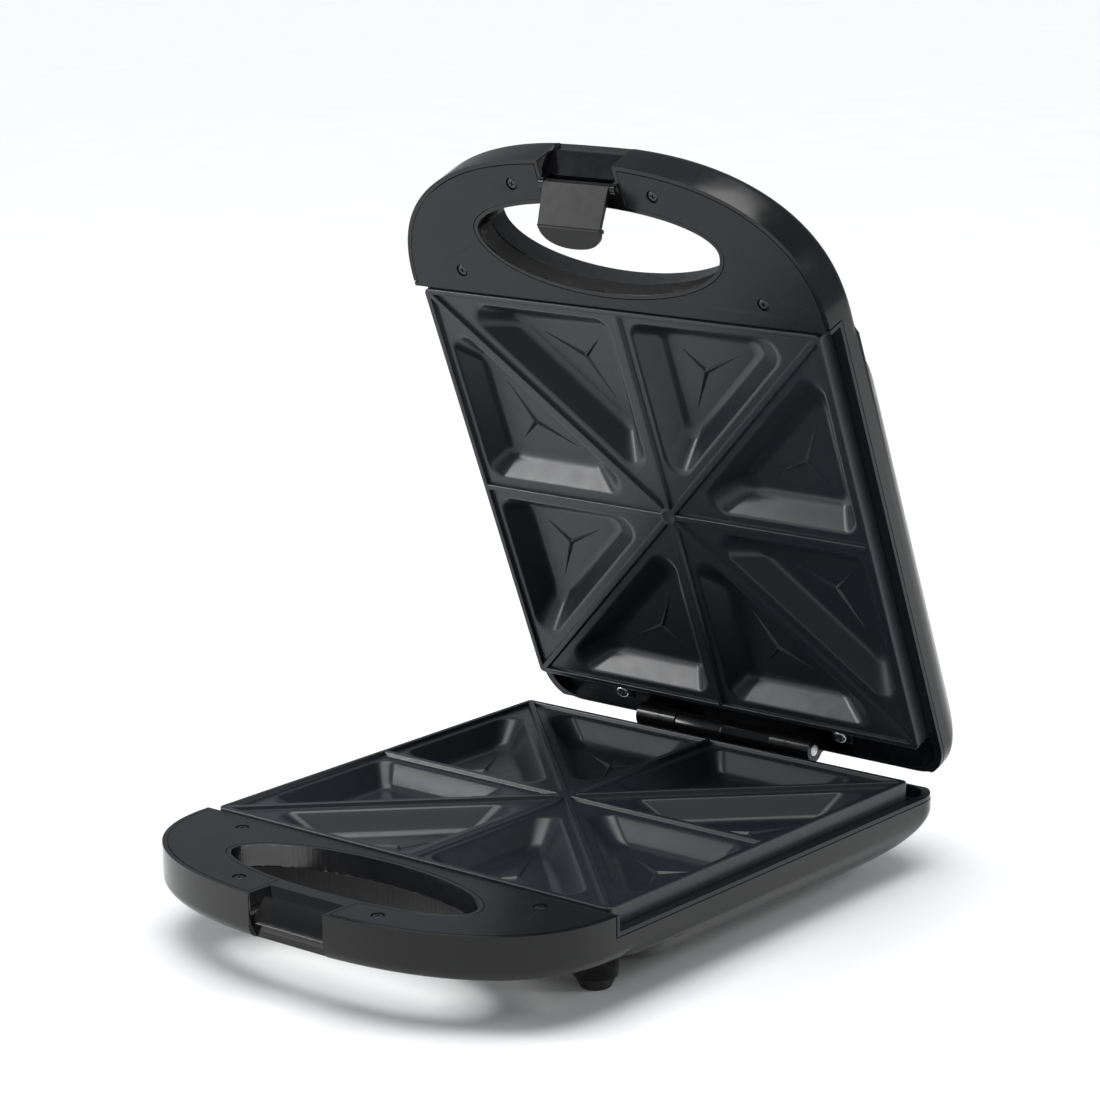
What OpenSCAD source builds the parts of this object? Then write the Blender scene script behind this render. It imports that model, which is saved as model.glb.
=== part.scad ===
// Sandwich toaster for four slices a side, standing open.
// Casing pieces are drawn with the plate face at z = 0 and the casing below it.
// The base uses them as drawn, and the lid uses their mirror image, turned up about the hinge.

/* [Cooking plates] */
// Width of each cooking plate
plate_w = 250; // [230:1:270]
// Depth of each cooking plate, front to back
plate_d = 244; // [224:1:264]
// Depth of the skirt that hangs from the edge of a plate
skirt_d = 11.5; // [9:0.5:13]
// Thickness of the cast plate
plate_t = 2.5; // [1.8:0.1:3]
// Width of the raised bead along the edge of a plate
bead_w = 3; // [2:0.5:5]
// Height of the bead and the dividers above the flat land
divider_h = 2; // [1:0.1:3]
// Width of a divider at its foot
divider_w = 5; // [4:0.5:7]
// Depth of a pocket below the land
pocket_d = 12; // [8:0.5:13]
// Distance from a divider's middle or the plate's edge to a pocket's rim
pocket_inset = 7; // [6:0.5:9]
// Horizontal run of a pocket's sloping wall
pocket_slope = 9; // [5:0.5:11]
// Corner radius of a pocket at its rim
pocket_r = 5; // [3:0.5:7]
// Gap between the two plates when the lid is down
plate_gap = 0.5; // [0.3:0.1:2]

/* [Casing] */
// Casing beyond the plate at each side
side_margin = 6.5; // [5:0.5:10]
// Casing beyond the plate at the back
rear_margin = 25; // [25:0.5:28]
// Handle beyond the plate at the front
handle_reach = 82.6; // [78:0.2:92]
// Depth of the handle, from its face to its underside
handle_d = 22.5; // [20:0.5:24]
// Depth of the casing below the handle's underside
belly_d = 20; // [16:1:24]
// How far a casing's sides curve in, from its rim to its floor
belly_side_in = 36; // [28:1:40]
// How far a casing's back curves in, from its rim to its floor
belly_rear_in = 100; // [80:2:110]
// Wall thickness of the casings
wall = 2.2; // [1.8:0.1:2.6]
// Radius of the casing's rear corners
rear_r = 20; // [14:1:24]
// How far the handle's face lies below the plate's face
face_drop = 1.5; // [1:0.1:2]
// How far the side strips lie below the plate's face
strip_drop = 9.5; // [8:0.5:10]
// How far the rear strip lies below the plate's face
rear_drop = 12; // [12:0.5:13]
// Thickness of the inner covers
cover_t = 2; // [1.6:0.1:2.4]
// Visible groove between a cover and its casing
groove = 0.5; // [0.3:0.1:0.9]

/* [Handles] */
// Half width of the finger hole
hole_a = 75.7; // [66:0.5:80]
// Reach of the finger hole towards the plate, from its widest line
hole_rear = 28.6; // [24:0.2:29]
// Reach of the finger hole towards the front, from its widest line
hole_front = 20.9; // [16:0.2:22]
// Distance of the hole's widest line in front of the plate
hole_y = 38; // [37:0.5:42]
// Half width of the latch notch
notch_a = 23.5; // [22:0.5:26]
// Depth of the latch notch at the handle's face
notch_d = 15.6; // [15:0.2:16.5]

/* [Hinge and latch] */
// How far the lid stands open
open_angle = 68; // [60:1:90]
// Distance of the hinge axis behind the plates
hinge_back = 14.6; // [14:0.1:15]
// Radius of the hinge pins
hinge_pin_r = 3; // [2.5:0.1:3.2]
// Radius of the hinge knuckles
knuckle_r = 6.5; // [6:0.1:7]
// Length of the hinge tube between the knuckles
hinge_tube_l = 62; // [50:1:66]
// Length of a base knuckle
knuckle_l = 10.2; // [8:0.2:12]
// Length of a lid knuckle
arm_l = 15; // [10:0.5:16]
// Running clearance on the radius of the hinge and latch pins
pin_play = 0.05; // [0.03:0.01:0.08]
// Angle at which the latch hangs, below the lid's face
latch_angle = 38.7; // [36:0.1:42]
// Length of the latch plate from its pin to its bend
latch_l = 21.5; // [20:0.1:23]
// Half width of the latch
latch_a = 20.3; // [18:0.1:20.5]
// Radius of the latch pin
latch_pin_r = 1.2; // [1:0.1:1.3]

/* [Feet and fittings] */
// Height of the rubber feet
foot_h = 6; // [5:0.5:9]
// How far the front feet stand in from the plate's sides
foot_in = 27; // [25:1:34]
// How far the rear feet stand in from the plate's sides
foot_rear_in = 45; // [40:1:52]
// How far the front feet stand behind the plate's front edge
foot_behind = 23; // [21:1:30]
// How far the rear feet stand in front of the plate's rear edge
foot_before = 37; // [34:1:44]
// Radius of the heating element's tube
element_r = 3.25; // [2.8:0.05:3.5]
// Half width of the heating element's loop
element_a = 70; // [60:1:76]
// Shank radius of the cover screws
screw_r = 1.5; // [1.2:0.1:1.7]
// Bore radius of the cord bushing
cord_r = 3.6; // [3:0.1:4]

/* [Hidden] */
$fn = 48;
eps = 0.01;

// Plan of the casing
half_w = plate_w/2 + side_margin;
rear_y = plate_d/2 + rear_margin;
curve_y = -plate_d/2 + 2.5;
curve_reach = handle_reach + 2.5;
curve_power = 2.45;
hole_mid = -plate_d/2 - hole_y;
step_y = -plate_d/2 - 0.6 - cover_t;
opening_gap = 0.6;

// Heights
handle_floor = -face_drop - handle_d;
wall_end = handle_floor + 6;
belly_floor = handle_floor - belly_d;
plate_h = -belly_floor + foot_h;
land_z = -divider_h;
pocket_floor = land_z - pocket_d;
element_z = pocket_floor - plate_t - element_r - 0.05;
tray_t = 0.8;
tray_z = element_z - element_r - 2;
strip_z = -strip_drop;
trough_z = -rear_drop - 3.4;

// Slices of the handle's rounded underside: inset, height
slab_slices = [[0, wall_end], [1.2, wall_end - 3.2], [3.2, wall_end - 5.1], [6.5, handle_floor]];
// The casing's hull curves in from belly_top at angle 0 to its floor at 90
belly_top = trough_z - cover_t + 0.4;
belly_drop = belly_top - belly_floor;
belly_start = asin((belly_top - handle_floor)/belly_drop);
belly_front = -plate_d/2 + 4;
belly_front_in = 34;
belly_round = 40;

// Insets of the hull at its sides, its back and its front, and its height, at angle a
function hull_slice(a) = let (below = (belly_drop*sin(a) - belly_top + handle_floor)/belly_d)
    [belly_side_in*(1 - cos(a)), belly_rear_in*(1 - cos(a)),
     belly_front_in*(1 - cos(asin(max(0, min(1, below))))), belly_top - belly_drop*sin(a)];

// Hinge and latch places, with the plate's face at z = 0
hinge_y = plate_d/2 + hinge_back;
hinge_z = plate_gap/2;
knuckle_x = hinge_tube_l/2 + 0.4;
arm_x = knuckle_x + knuckle_l + 0.4;
notch_y = -plate_d/2 - handle_reach + notch_d;
recess_z = -14;
latch_pin_y = notch_y - 2.7;
latch_pin_z = 1.6;
lug_r = 2.6;
hook_edge_z = handle_floor + 8;

// Row frame: on the table, midway between the handle's front and the raised lid's back
lid_reach = max([for (i = [0:5]) let (s = hull_slice(belly_start + (90 - belly_start)*i/5))
    (rear_y - s[1] - hinge_y)*cos(open_angle) + (plate_gap/2 - s[3])*sin(open_angle)]);
front_y = -plate_d/2 - handle_reach;
origin_y = (front_y + hinge_y + lid_reach)/2;

// ---- frames ----

// Plate-centred base frame
module base_frame() translate([0, -origin_y, plate_h]) children();

// The closed lid's frame, turned up about the hinge
module lid_frame() base_frame()
    translate([0, hinge_y, hinge_z]) rotate([-open_angle, 0, 0]) translate([0, -hinge_y, -hinge_z])
        children();

// Casing pieces mirrored into the lid
module lid_side() lid_frame() translate([0, 0, plate_gap]) mirror([0, 0, 1]) children();

// ---- outlines ----

function power_term(v, p) = sign(v)*pow(abs(v), 2/p);

function arc_points(x, y, r, from, to, steps) =
    [for (i = [0:steps]) let (a = from + (to - from)*i/steps) [x + r*cos(a), y + r*sin(a)]];

// Casing outline: a superellipse round the handle and rounded rear corners
function casing_front(inset) = front_curve(half_w - inset, curve_y, curve_reach - inset, curve_power);
function casing_outline(inset) = concat(casing_front(inset), hull_back([0, 0], inset, curve_y + 8));

// The back part of the hull's outline at a slice, drawn in by t, from y backwards
function hull_back(s, t, y) = back_curve(half_w - s[0] - t, y, rear_y - s[1] - t, rear_r - t + s[0]/2);

// Points of half a superellipse, from its left end round its front to its right end.
// It ends a hair inside the straight sides, so no three points of an outline lie in a line.
function front_curve(x, y, reach, power) = [for (i = [0:36]) let (a = 180 + 5*i)
    [(x - 0.1)*power_term(cos(a), power), y + reach*power_term(sin(a), power)]];

// The rest of an outline behind its front curve: straight sides from y0 and rounded rear corners
function back_curve(x, y0, y1, r) = concat([[x, y0]],
    arc_points(x - r, y1 - r, r, 0, 90, 6), arc_points(r - x, y1 - r, r, 90, 180, 6), [[-x, y0]]);

function at_height(points, z) = [for (p = points) [p[0], p[1], z]];

// Finger hole: a half ellipse in front of its widest line and a deeper one behind it
function hole_outline(grow) = [for (i = [0:59]) let (a = 6*i)
    [(hole_a + grow)*cos(a), hole_mid + ((a < 180 ? hole_rear : hole_front) + grow)*sin(a)]];

// Solid through rings of equally many points, from the top ring down
module loft(rings) {
    n = len(rings[0]);
    m = len(rings);
    polyhedron([for (r = rings) for (p = r) p], concat(
        [[for (i = [n - 1:-1:0]) i]],
        [for (k = [0:m - 2]) for (i = [0:n - 1])
            let (j = (i + 1)%n, right = rings[k][i][0] + rings[k][j][0] > 0,
                 above = k*n, below = above + n)
            each right ? [[above + i, above + j, below + i], [above + j, below + j, below + i]]
                       : [[above + i, above + j, below + j], [above + i, below + j, below + i]]],
        [[for (i = [0:n - 1]) (m - 1)*n + i]]));
}

module slab(z0, z1, points) translate([0, 0, z0]) linear_extrude(z1 - z0) polygon(points);

// Box between two corners
module block(x0, x1, y0, y1, z0, z1) translate([x0, y0, z0]) cube([x1 - x0, y1 - y0, z1 - z0]);

// Places a child at the same spot left and right
module both_sides() { children(); mirror([1, 0, 0]) children(); }

// ---- casing ----

// The form of a casing, drawn in by t all round: the handle's slab, running into the belly behind it
module casing_form(t) loft(concat(
    [at_height(casing_outline(t), t > 0 ? 0 : -face_drop)],
    [for (i = [0:3]) let (s = hull_slice(belly_start*i/4))
        concat(at_height(casing_front(slab_slices[i][0] + t), slab_slices[i][1] + t),
               at_height(hull_back(s, t, curve_y + 8), s[3] + t))],
    [for (i = [0:5])
        let (s = hull_slice(belly_start + (90 - belly_start)*i/5), y = belly_front + s[2] + t + belly_round)
        at_height(concat(front_curve(half_w - s[0] - t, y, belly_round, 3.2), hull_back(s, t, y + 8)),
                  s[3] + t)]));

cover_screw_spots = [[44, front_y + 15.6], [95, front_y + 69.6]];
post_spots = [[80, 80], [80, -80]];

// Solid stretches left inside a hollow casing
module casing_inside(post_top) {
    slab(handle_floor - 1, -face_drop, hole_outline(wall));
    block(-notch_a - 2, notch_a + 2, front_y - 1, hole_mid, handle_floor - 1, -face_drop);
    both_sides() {
        for (p = cover_screw_spots)
            translate([p[0], p[1], handle_floor - 1]) cylinder(r = 4.2,
                h = -face_drop - cover_t - handle_floor + 1);
        for (p = post_spots) translate([p[0], p[1], belly_floor]) cylinder(r = 5, h = post_top - belly_floor);
    }
    // pad under the terminal block
    block(-block_a - 1.5, block_a + 1.5, block_y - 1.5, block_y + block_l + 1.5, belly_floor, block_floor);
}

// One hinge knuckle with its web, from x0 to x1
module knuckle(x0, x1) {
    translate([x0, hinge_y, hinge_z]) rotate([0, 90, 0]) cylinder(r = knuckle_r, h = x1 - x0);
    block(x0, x1, hinge_y - 5, hinge_y + 5, trough_z - cover_t - 0.4, hinge_z);
}

// Web that carries a knuckle up from the casing's floor
module knuckle_root(x0, x1) block(x0, x1, hinge_y - 5, hinge_y + 5, belly_floor, trough_z);

// Everything cut from a casing above its rims
module rim_cuts() {
    block(-half_w - 1, half_w + 1, step_y - groove - 0.3, rear_y + 1, strip_z - cover_t - groove, 1);
    block(-half_w - 1, half_w + 1, rear_strip_y - groove, rear_y + 1, -rear_drop - cover_t - groove, 1);
}
rear_strip_y = rear_y - 3.4;

module casing_bores() both_sides() for (p = cover_screw_spots)
    translate([p[0], p[1], handle_floor + 3]) cylinder(r = screw_r + 0.1, h = handle_d);

module base_shell() color("#202022") base_frame() difference() {
    union() {
        difference() {
            union() {
                casing_form(0);
                for (p = foot_spots) translate([p[0], p[1], belly_floor])
                    cylinder(r1 = 10.6, r2 = 12, h = 16);
                // seat for the cord bushing
                translate([cord_x, rear_y - 18, cord_z]) rotate([-90, 0, 0]) cylinder(r = cord_r + 3.4,
                    h = 18);
            }
            difference() {
                casing_form(wall);
                casing_inside(tray_z - tray_t);
                both_sides() knuckle_root(knuckle_x, knuckle_x + knuckle_l);
            }
            rim_cuts();
            latch_ramp();
        }
        both_sides() knuckle(knuckle_x, knuckle_x + knuckle_l);
    }
    slab(handle_floor - 1, 1, hole_outline(0));
    casing_bores();
    translate([-knuckle_x - knuckle_l - 1, hinge_y, hinge_z]) rotate([0, 90, 0])
        cylinder(r = hinge_pin_r + pin_play, h = 2*(knuckle_x + knuckle_l + 1));
    translate([cord_x, rear_y - wall - 3, cord_z]) rotate([-90, 0, 0]) cylinder(r = cord_r + 1.6,
        h = wall + 6);
    translate([cord_x, rear_y - wall - 20, cord_z]) rotate([-90, 0, 0]) cylinder(r = cord_r + 2.3, h = 20);
}
foot_x = plate_w/2 - foot_in;
foot_rear_x = plate_w/2 - foot_rear_in;
foot_front = plate_d/2 - foot_behind;
foot_rear = plate_d/2 - foot_before;
foot_spots = [[-foot_x, -foot_front], [foot_x, -foot_front], [-foot_rear_x, foot_rear], [foot_rear_x,
    foot_rear]];
cord_x = -70;
cord_z = trough_z - cover_t - cord_r - 2.6;

// The base's latch notch: a ramp for the latch to ride down, and an undercut for its hook
module latch_ramp() rotate([90, 0, 90]) translate([0, 0, -notch_a]) linear_extrude(2*notch_a) {
    polygon([[notch_y, 1], [notch_y, -face_drop], [front_y + 2.1, hook_edge_z], [front_y - 1, hook_edge_z],
             [front_y - 1, 1]]);
    polygon([[front_y - 1, hook_edge_z + eps], [front_y + 2.1, hook_edge_z + eps], [front_y + 4.5,
        hook_edge_z - 2],
             [front_y + 6, handle_floor - 1], [front_y - 1, handle_floor - 1]]);
}

module lid_shell() color("#202022") lid_side() difference() {
    union() {
        difference() {
            casing_form(0);
            difference() {
                casing_form(wall);
                casing_inside(tray_z - tray_t);
                both_sides() knuckle_root(arm_x, arm_x + arm_l);
            }
            rim_cuts();
            block(-notch_a, notch_a, front_y - 1, notch_y, recess_z, 1);
        }
        both_sides() {
            knuckle(arm_x, arm_x + arm_l);
            latch_lug();
        }
    }
    slab(handle_floor - 1, 1, hole_outline(0));
    casing_bores();
    translate([-arm_x - arm_l - 1, hinge_y, hinge_z]) rotate([0, 90, 0])
        cylinder(r = hinge_pin_r + 0.02, h = 2*(arm_x + arm_l + 1));
    translate([-notch_a, latch_pin_y, plate_gap - latch_pin_z]) rotate([0, 90, 0])
        cylinder(r = latch_pin_r + 0.02, h = 2*notch_a);
    for (x = [-lamp_x, lamp_x]) translate([x, lamp_y, handle_floor - 1]) cylinder(r = lamp_r, h = wall + 2);
}
lamp_x = 14;
lamp_y = belly_front - 5.4;
lamp_r = 3;

// Bearing lug for the latch pin, beside the notch's wall
module latch_lug() {
    translate([latch_a + 0.5, latch_pin_y, plate_gap - latch_pin_z]) rotate([0, 90, 0])
        cylinder(r = lug_r, h = notch_a - latch_a - 0.5 + eps);
    block(latch_a + 0.5, notch_a + eps, latch_pin_y - lug_r, notch_y + eps, -7, plate_gap - latch_pin_z);
}

// ---- inner covers ----

// Inner cover, with slots for the knuckles that stand from x0 to x1
module cover(x0, x1) {
    top = -face_drop;
    edge = wall + groove;
    difference() {
        union() {
            // handle face
            intersection() {
                slab(top - cover_t, top, casing_outline(edge));
                block(-half_w, half_w, front_y, step_y + cover_t, top - cover_t, top);
            }
            // step behind the handle face
            intersection() {
                slab(strip_z - cover_t, top, casing_outline(0.2));
                block(-half_w, half_w, step_y, step_y + cover_t, strip_z - cover_t, top);
            }
            // side strips
            intersection() {
                slab(strip_z - cover_t, strip_z, casing_outline(0.2));
                block(-half_w, half_w, step_y, rear_strip_y, strip_z - cover_t, strip_z);
            }
            // rear strip, and its seam with the trough
            intersection() {
                slab(-rear_drop - cover_t, -rear_drop, casing_outline(0.2));
                block(-half_w, half_w, rear_strip_y, rear_y, -rear_drop - cover_t, -rear_drop);
            }
            intersection() {
                slab(-rear_drop - cover_t, -rear_drop, casing_outline(trough_inset));
                block(-half_w, half_w, rear_strip_y - 1.2, rear_y, -rear_drop - cover_t, -rear_drop);
            }
            // trough behind the plate
            intersection() {
                slab(trough_z - cover_t, strip_z - cover_t + eps, casing_outline(trough_inset));
                block(-half_w, half_w, trough_front, rear_strip_y, trough_z - cover_t, strip_z);
            }
        }
        // plate opening
        block(-plate_w/2 - opening_gap, plate_w/2 + opening_gap, -plate_d/2 - opening_gap,
              plate_d/2 + opening_gap, trough_z - cover_t - 1, 1);
        // hollow of the trough
        intersection() {
            slab(trough_z, 1, casing_outline(trough_inset + 1.6));
            block(-half_w, half_w, trough_front + 1.6, rear_strip_y - 1.6, trough_z, 1);
        }
        slab(top - cover_t - 1, top + 1, hole_outline(wall + groove));
        block(-notch_a - 2 - groove, notch_a + 2 + groove, front_y - 1, hole_mid, top - cover_t - 1, top + 1);
        both_sides() {
            block(x0 - 0.4, x1 + 0.4, hinge_y - 5.4, hinge_y + 5.4, trough_z - cover_t - 1, trough_z + 1);
            for (p = cover_screw_spots) translate([p[0], p[1], top - cover_t - 1]) {
                cylinder(r = screw_r + 0.3, h = cover_t + 2);
                translate([0, 0, 1.5]) cylinder(r = 3.4, h = cover_t);
            }
        }
    }
    // pillars under the plate's rear tabs
    both_sides() difference() {
        translate([tab_x, tab_y, trough_z - eps]) cylinder(r = 3.6, h = tab_z - trough_z + eps);
        translate([tab_x, tab_y, trough_z + 1]) cylinder(r = screw_r + 0.1, h = tab_z - trough_z);
    }
}
trough_inset = 3;
trough_front = plate_d/2 + opening_gap;
tab_x = 72;
tab_y = plate_d/2 + 6;
tab_z = -8;
tab_t = 2.4;
tray_bore = pocket_d - 2;

module base_cover() color("#2a2a2d") base_frame() cover(knuckle_x, knuckle_x + knuckle_l);
module lid_cover() color("#2a2a2d") lid_side() cover(arm_x, arm_x + arm_l);

// ---- cooking plates ----

// Corners of the triangle between the plate's middle, an edge's middle and a corner, drawn in by d
function pocket_corners(along_x, d) =
    let (m = along_x ? [plate_w/2, 0] : [0, plate_d/2], k = [plate_w/2, plate_d/2],
         a = norm(k - m), b = norm(k), c = norm(m), s = a + b + c,
         centre = (b*m + c*k)/s, in_r = a*c/s)
    [for (p = along_x ? [[0, 0], m, k] : [[0, 0], k, m]) centre + (p - centre)*(in_r - d)/in_r];

// Outline of radius r round a triangle's corners
function round_triangle(c, r) = [for (i = [0:2])
    let (into = c[i] - c[(i + 2)%3], out = c[(i + 1)%3] - c[i],
         from = atan2(-into[0], into[1]), to = atan2(-out[0], out[1]), turn = (to - from + 720)%360)
    for (p = arc_points(c[i][0], c[i][1], r, from, from + turn, 5)) p];

// One pocket's hollow, or its outside when t is the wall's thickness
module pocket(along_x, t) {
    rim = pocket_corners(along_x, pocket_inset + pocket_r);
    floor = pocket_corners(along_x, pocket_inset + pocket_slope + pocket_r);
    loft(concat(
        t > 0 ? [] : [at_height(round_triangle(rim, pocket_r), 0.5)],
        [at_height(round_triangle(rim, pocket_r + t), land_z - t/3),
         at_height(round_triangle(floor, pocket_r + t), pocket_floor + 1.5 - t),
         at_height(round_triangle(floor, pocket_r + t - 1.8), pocket_floor - t)]));
}

// Y crease on a pocket's floor, with tapering arms towards the corners
module crease(along_x) {
    ends = pocket_corners(along_x, pocket_inset + pocket_slope + 6);
    m = (ends[0] + ends[1] + ends[2])/3;
    for (e = ends) {
        arm = e - m;
        across = [-arm[1], arm[0]]/norm(arm)*1.3;
        translate([0, 0, pocket_floor - 0.3]) linear_extrude(1.5)
            polygon([m + across - arm*0.03, m + arm*0.72, m - across - arm*0.03]);
    }
}

module each_pocket() for (sx = [0, 1]) for (sy = [0, 1])
    mirror([sx, 0, 0]) mirror([0, sy, 0]) children();

// A divider through the plate's middle, at an angle and as long as the plate reaches there
module divider(angle, length) rotate([90, 0, angle]) translate([0, 0, -length/2]) linear_extrude(length)
    polygon([[-divider_w/2, land_z - 0.5], [divider_w/2, land_z - 0.5], [divider_w/2, land_z],
             [divider_w/4, 0], [-divider_w/4, 0], [-divider_w/2, land_z]]);

module plate_outline(inset, r) translate([inset + r - plate_w/2, inset + r - plate_d/2]) {
    w = plate_w - 2*inset - 2*r;
    d = plate_d - 2*inset - 2*r;
    union() {
        translate([-r, 0]) square([w + 2*r, d]);
        translate([0, -r]) square([w, d + 2*r]);
        for (x = [0, w]) for (y = [0, d]) translate([x, y]) circle(r, $fn = 24);
    }
}

module plate() {
    diagonal = atan2(plate_d, plate_w);
    difference() {
        union() {
            difference() {
                translate([0, 0, -skirt_d]) linear_extrude(skirt_d) plate_outline(0, 3);
                translate([0, 0, land_z]) linear_extrude(5) plate_outline(bead_w, 2);
                translate([0, 0, -skirt_d - 1]) linear_extrude(skirt_d + 1 + land_z - plate_t)
                    plate_outline(plate_t, 2);
            }
            intersection() {
                union() {
                    for (a = [0, 90]) divider(a, plate_w + plate_d);
                    for (a = [diagonal - 90, 90 - diagonal]) divider(a, plate_w + plate_d);
                    translate([0, 0, land_z - 0.5]) cylinder(r = 5.5, h = divider_h + 0.5, $fn = 24);
                }
                translate([0, 0, -skirt_d]) linear_extrude(skirt_d) plate_outline(bead_w/2, 2);
            }
            each_pocket() { pocket(true, plate_t); pocket(false, plate_t); }
            // hub and screw bosses on the underside
            translate([0, 0, tray_z]) cylinder(r = 3, h = -tray_z + land_z - 1);
            for (p = tray_screw_spots) translate([p[0], p[1], tray_z]) cylinder(r = 3.4,
                h = -tray_z + land_z - 1);
            both_sides() block(tab_x - 6, tab_x + 6, plate_d/2 - 1, tab_y + 5, tab_z, tab_z + tab_t);
        }
        each_pocket() { pocket(true, 0); pocket(false, 0); }
        for (p = tray_screw_spots) translate([p[0], p[1], tray_z - 1]) cylinder(r = screw_r + 0.1,
            h = tray_bore + 1);
        both_sides() translate([tab_x, tab_y, tab_z - 1]) cylinder(r = screw_r + 0.3, h = tab_t + 2);
    }
    each_pocket() { crease(true); crease(false); }
}
tray_screw_spots = [[plate_w/2 - 15, 0], [15 - plate_w/2, 0], [0, plate_d/2 - 20], [0, 20 - plate_d/2]];

module base_plate() color("#23262c") base_frame() plate();
module lid_plate() color("#23262c") lid_side() plate();

// ---- heating elements ----

// Straight run of the element's tube between two points in plan
module run(p, q) translate([p[0], p[1], element_z]) rotate([-90, 0, atan2(q[1] - p[1], q[0] - p[0]) - 90])
    cylinder(r = element_r, h = norm(q - p));

// Quarter bend of the tube about a point in plan
module bend(x, y, r, from) translate([x, y, element_z]) rotate([0, 0, from]) rotate_extrude(angle = 90)
    translate([r, 0]) circle(element_r);

module heating_element() {
    a = element_a;
    r = 22;
    cold_x = lead_x;
    cold_r = 12;
    run([r - a, -a], [a - r, -a]);
    bend(a - r, r - a, r, -90);
    bend(r - a, r - a, r, 180);
    both_sides() {
        run([a, r - a], [a, a - r]);
        bend(a - r, a - r, r, 0);
        run([a - r, a], [cold_x + cold_r, a]);
        bend(cold_x + cold_r, a + cold_r, cold_r, 180);
        run([cold_x, a + cold_r], [cold_x, element_end]);
    }
}
element_end = plate_d/2 - 7;
lead_x = 14;

// Ceramic beads and blade terminals on the cold ends
module element_terminals() both_sides() translate([lead_x, element_end, element_z]) {
    rotate([-90, 0, 0]) cylinder(r = 2.6, h = 1.5);
    block(-3.15, 3.15, 1.5, 6.5, -0.4, 0.4);
}

module base_heating_element() color("#8c8f94") base_frame() heating_element();
module lid_heating_element() color("#8c8f94") lid_side() heating_element();
module base_element_terminals() color("#e9e4d8") base_frame() element_terminals();
module lid_element_terminals() color("#e9e4d8") lid_side() element_terminals();

// ---- reflector trays ----

tray_x = plate_w/2 - 5;
tray_front = plate_d/2 - 9;

// Outline of a tray's lower part, with its two front corners cut off to clear the casing's belly
tray_cut = [60, 19];
tray_plan = [[tray_x, tray_front], [-tray_x, tray_front], [-tray_x, tray_cut[1] - tray_front],
             [tray_cut[0] - tray_x, -tray_front], [tray_x - tray_cut[0], -tray_front],
             [tray_x, tray_cut[1] - tray_front]];
tray_ledge = handle_floor + wall + 1.2;

// A convex outline, anticlockwise, drawn in by t
function drawn_in(points, t) = [for (i = [0:len(points) - 1])
    let (n = len(points), a = points[i] - points[(i + n - 1)%n], b = points[(i + 1)%n] - points[i],
         left = [-a[1], a[0]]/norm(a), next = [-b[1], b[0]]/norm(b))
    points[i] + t*(left + next)/(1 + left*next)];

module reflector() difference() {
    union() {
        slab(tray_z - tray_t, tray_ledge, tray_plan);
        block(-tray_x, tray_x, -tray_front, tray_front, tray_ledge - tray_t, -skirt_d);
        block(-half_w + wall + 0.6, half_w - wall - 0.6, step_y + 0.4, plate_d/2, -skirt_d - tray_t,
            -skirt_d);
    }
    slab(tray_z, 1, drawn_in(tray_plan, tray_t));
    block(tray_t - tray_x, tray_x - tray_t, tray_t - tray_front, tray_front - tray_t, tray_ledge, 1);
    for (p = tray_screw_spots) translate([p[0], p[1], tray_z - 3]) cylinder(r = screw_r + 0.3, h = 5);
    for (x = [-lead_x, lead_x]) translate([x, tray_front - 4, element_z]) rotate([-90, 0, 0])
        cylinder(r = element_r + 0.4, h = 8);
}
module base_reflector() color("#b9bcc0") base_frame() reflector();
module lid_reflector() color("#b9bcc0") lid_side() reflector();

// ---- screws ----

// Pan-head cross-recess screw pointing down, with its head seated at z = 0
module screw(length, head_r, head_h) difference() {
    rotate_extrude() polygon([[0, -length], [screw_r - 0.6, -length], [screw_r, 0.8 - length], [screw_r, 0],
        [head_r, 0], [head_r, head_h*0.45], [head_r*0.86, head_h*0.8], [head_r*0.6, head_h*0.96], [0,
            head_h]]);
    for (a = [0, 90]) rotate([0, 0, a]) block(-head_r*0.55, head_r*0.55, -0.35, 0.35, head_h*0.4, 3);
}

module cover_screws() both_sides() for (p = cover_screw_spots)
    translate([p[0], p[1], -face_drop - cover_t + 0.5]) screw(handle_d - cover_t - 6, 3, 1.3);

module plate_screws() both_sides() translate([tab_x, tab_y, tab_z + tab_t])
    screw(tab_z + tab_t - trough_z - 2.3, 3.6, 2.2);

module tray_screws() for (p = tray_screw_spots)
    translate([p[0], p[1], tray_z - tray_t]) mirror([0, 0, 1]) screw(tray_bore - 1, 2.8, 1.8);

module base_cover_screws() color("#17171a") base_frame() cover_screws();
module lid_cover_screws() color("#17171a") lid_side() cover_screws();
module base_plate_screws() color("#c9ccd0") base_frame() plate_screws();
module lid_plate_screws() color("#c9ccd0") lid_side() plate_screws();
module base_tray_screws() color("#c9ccd0") base_frame() tray_screws();
module lid_tray_screws() color("#c9ccd0") lid_side() tray_screws();

// ---- electrical pieces ----

// Disc thermostat, held against the plate's hub
module thermostat() color("#d9d2c2") base_frame() difference() {
    union() {
        translate([0, 0, tray_z]) cylinder(r = disc_r, h = disc_h);
        block(-1.5*disc_r, 1.5*disc_r, -3, 3, tray_z, tray_z + 0.8);
    }
    translate([0, 0, tray_z - 1]) cylinder(r = 3.1, h = disc_h + 2);
}
disc_r = 8;
disc_h = 6.5;

// Fuse cartridge lying on the reflector, with its two crimped ends
module fuse_body() translate([0, 40, tray_z + 2.2]) {
    rotate([0, 90, 0]) translate([0, 0, -6]) cylinder(r = 2.2, h = 12);
    for (x = [-10, 6]) translate([x, 0, 0]) rotate([0, 90, 0]) cylinder(r = 1, h = 4);
}
module thermal_fuse() color("#cfcabb") base_frame() fuse_body();
module lid_thermal_fuse() color("#cfcabb") lid_side() fuse_body();

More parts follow.
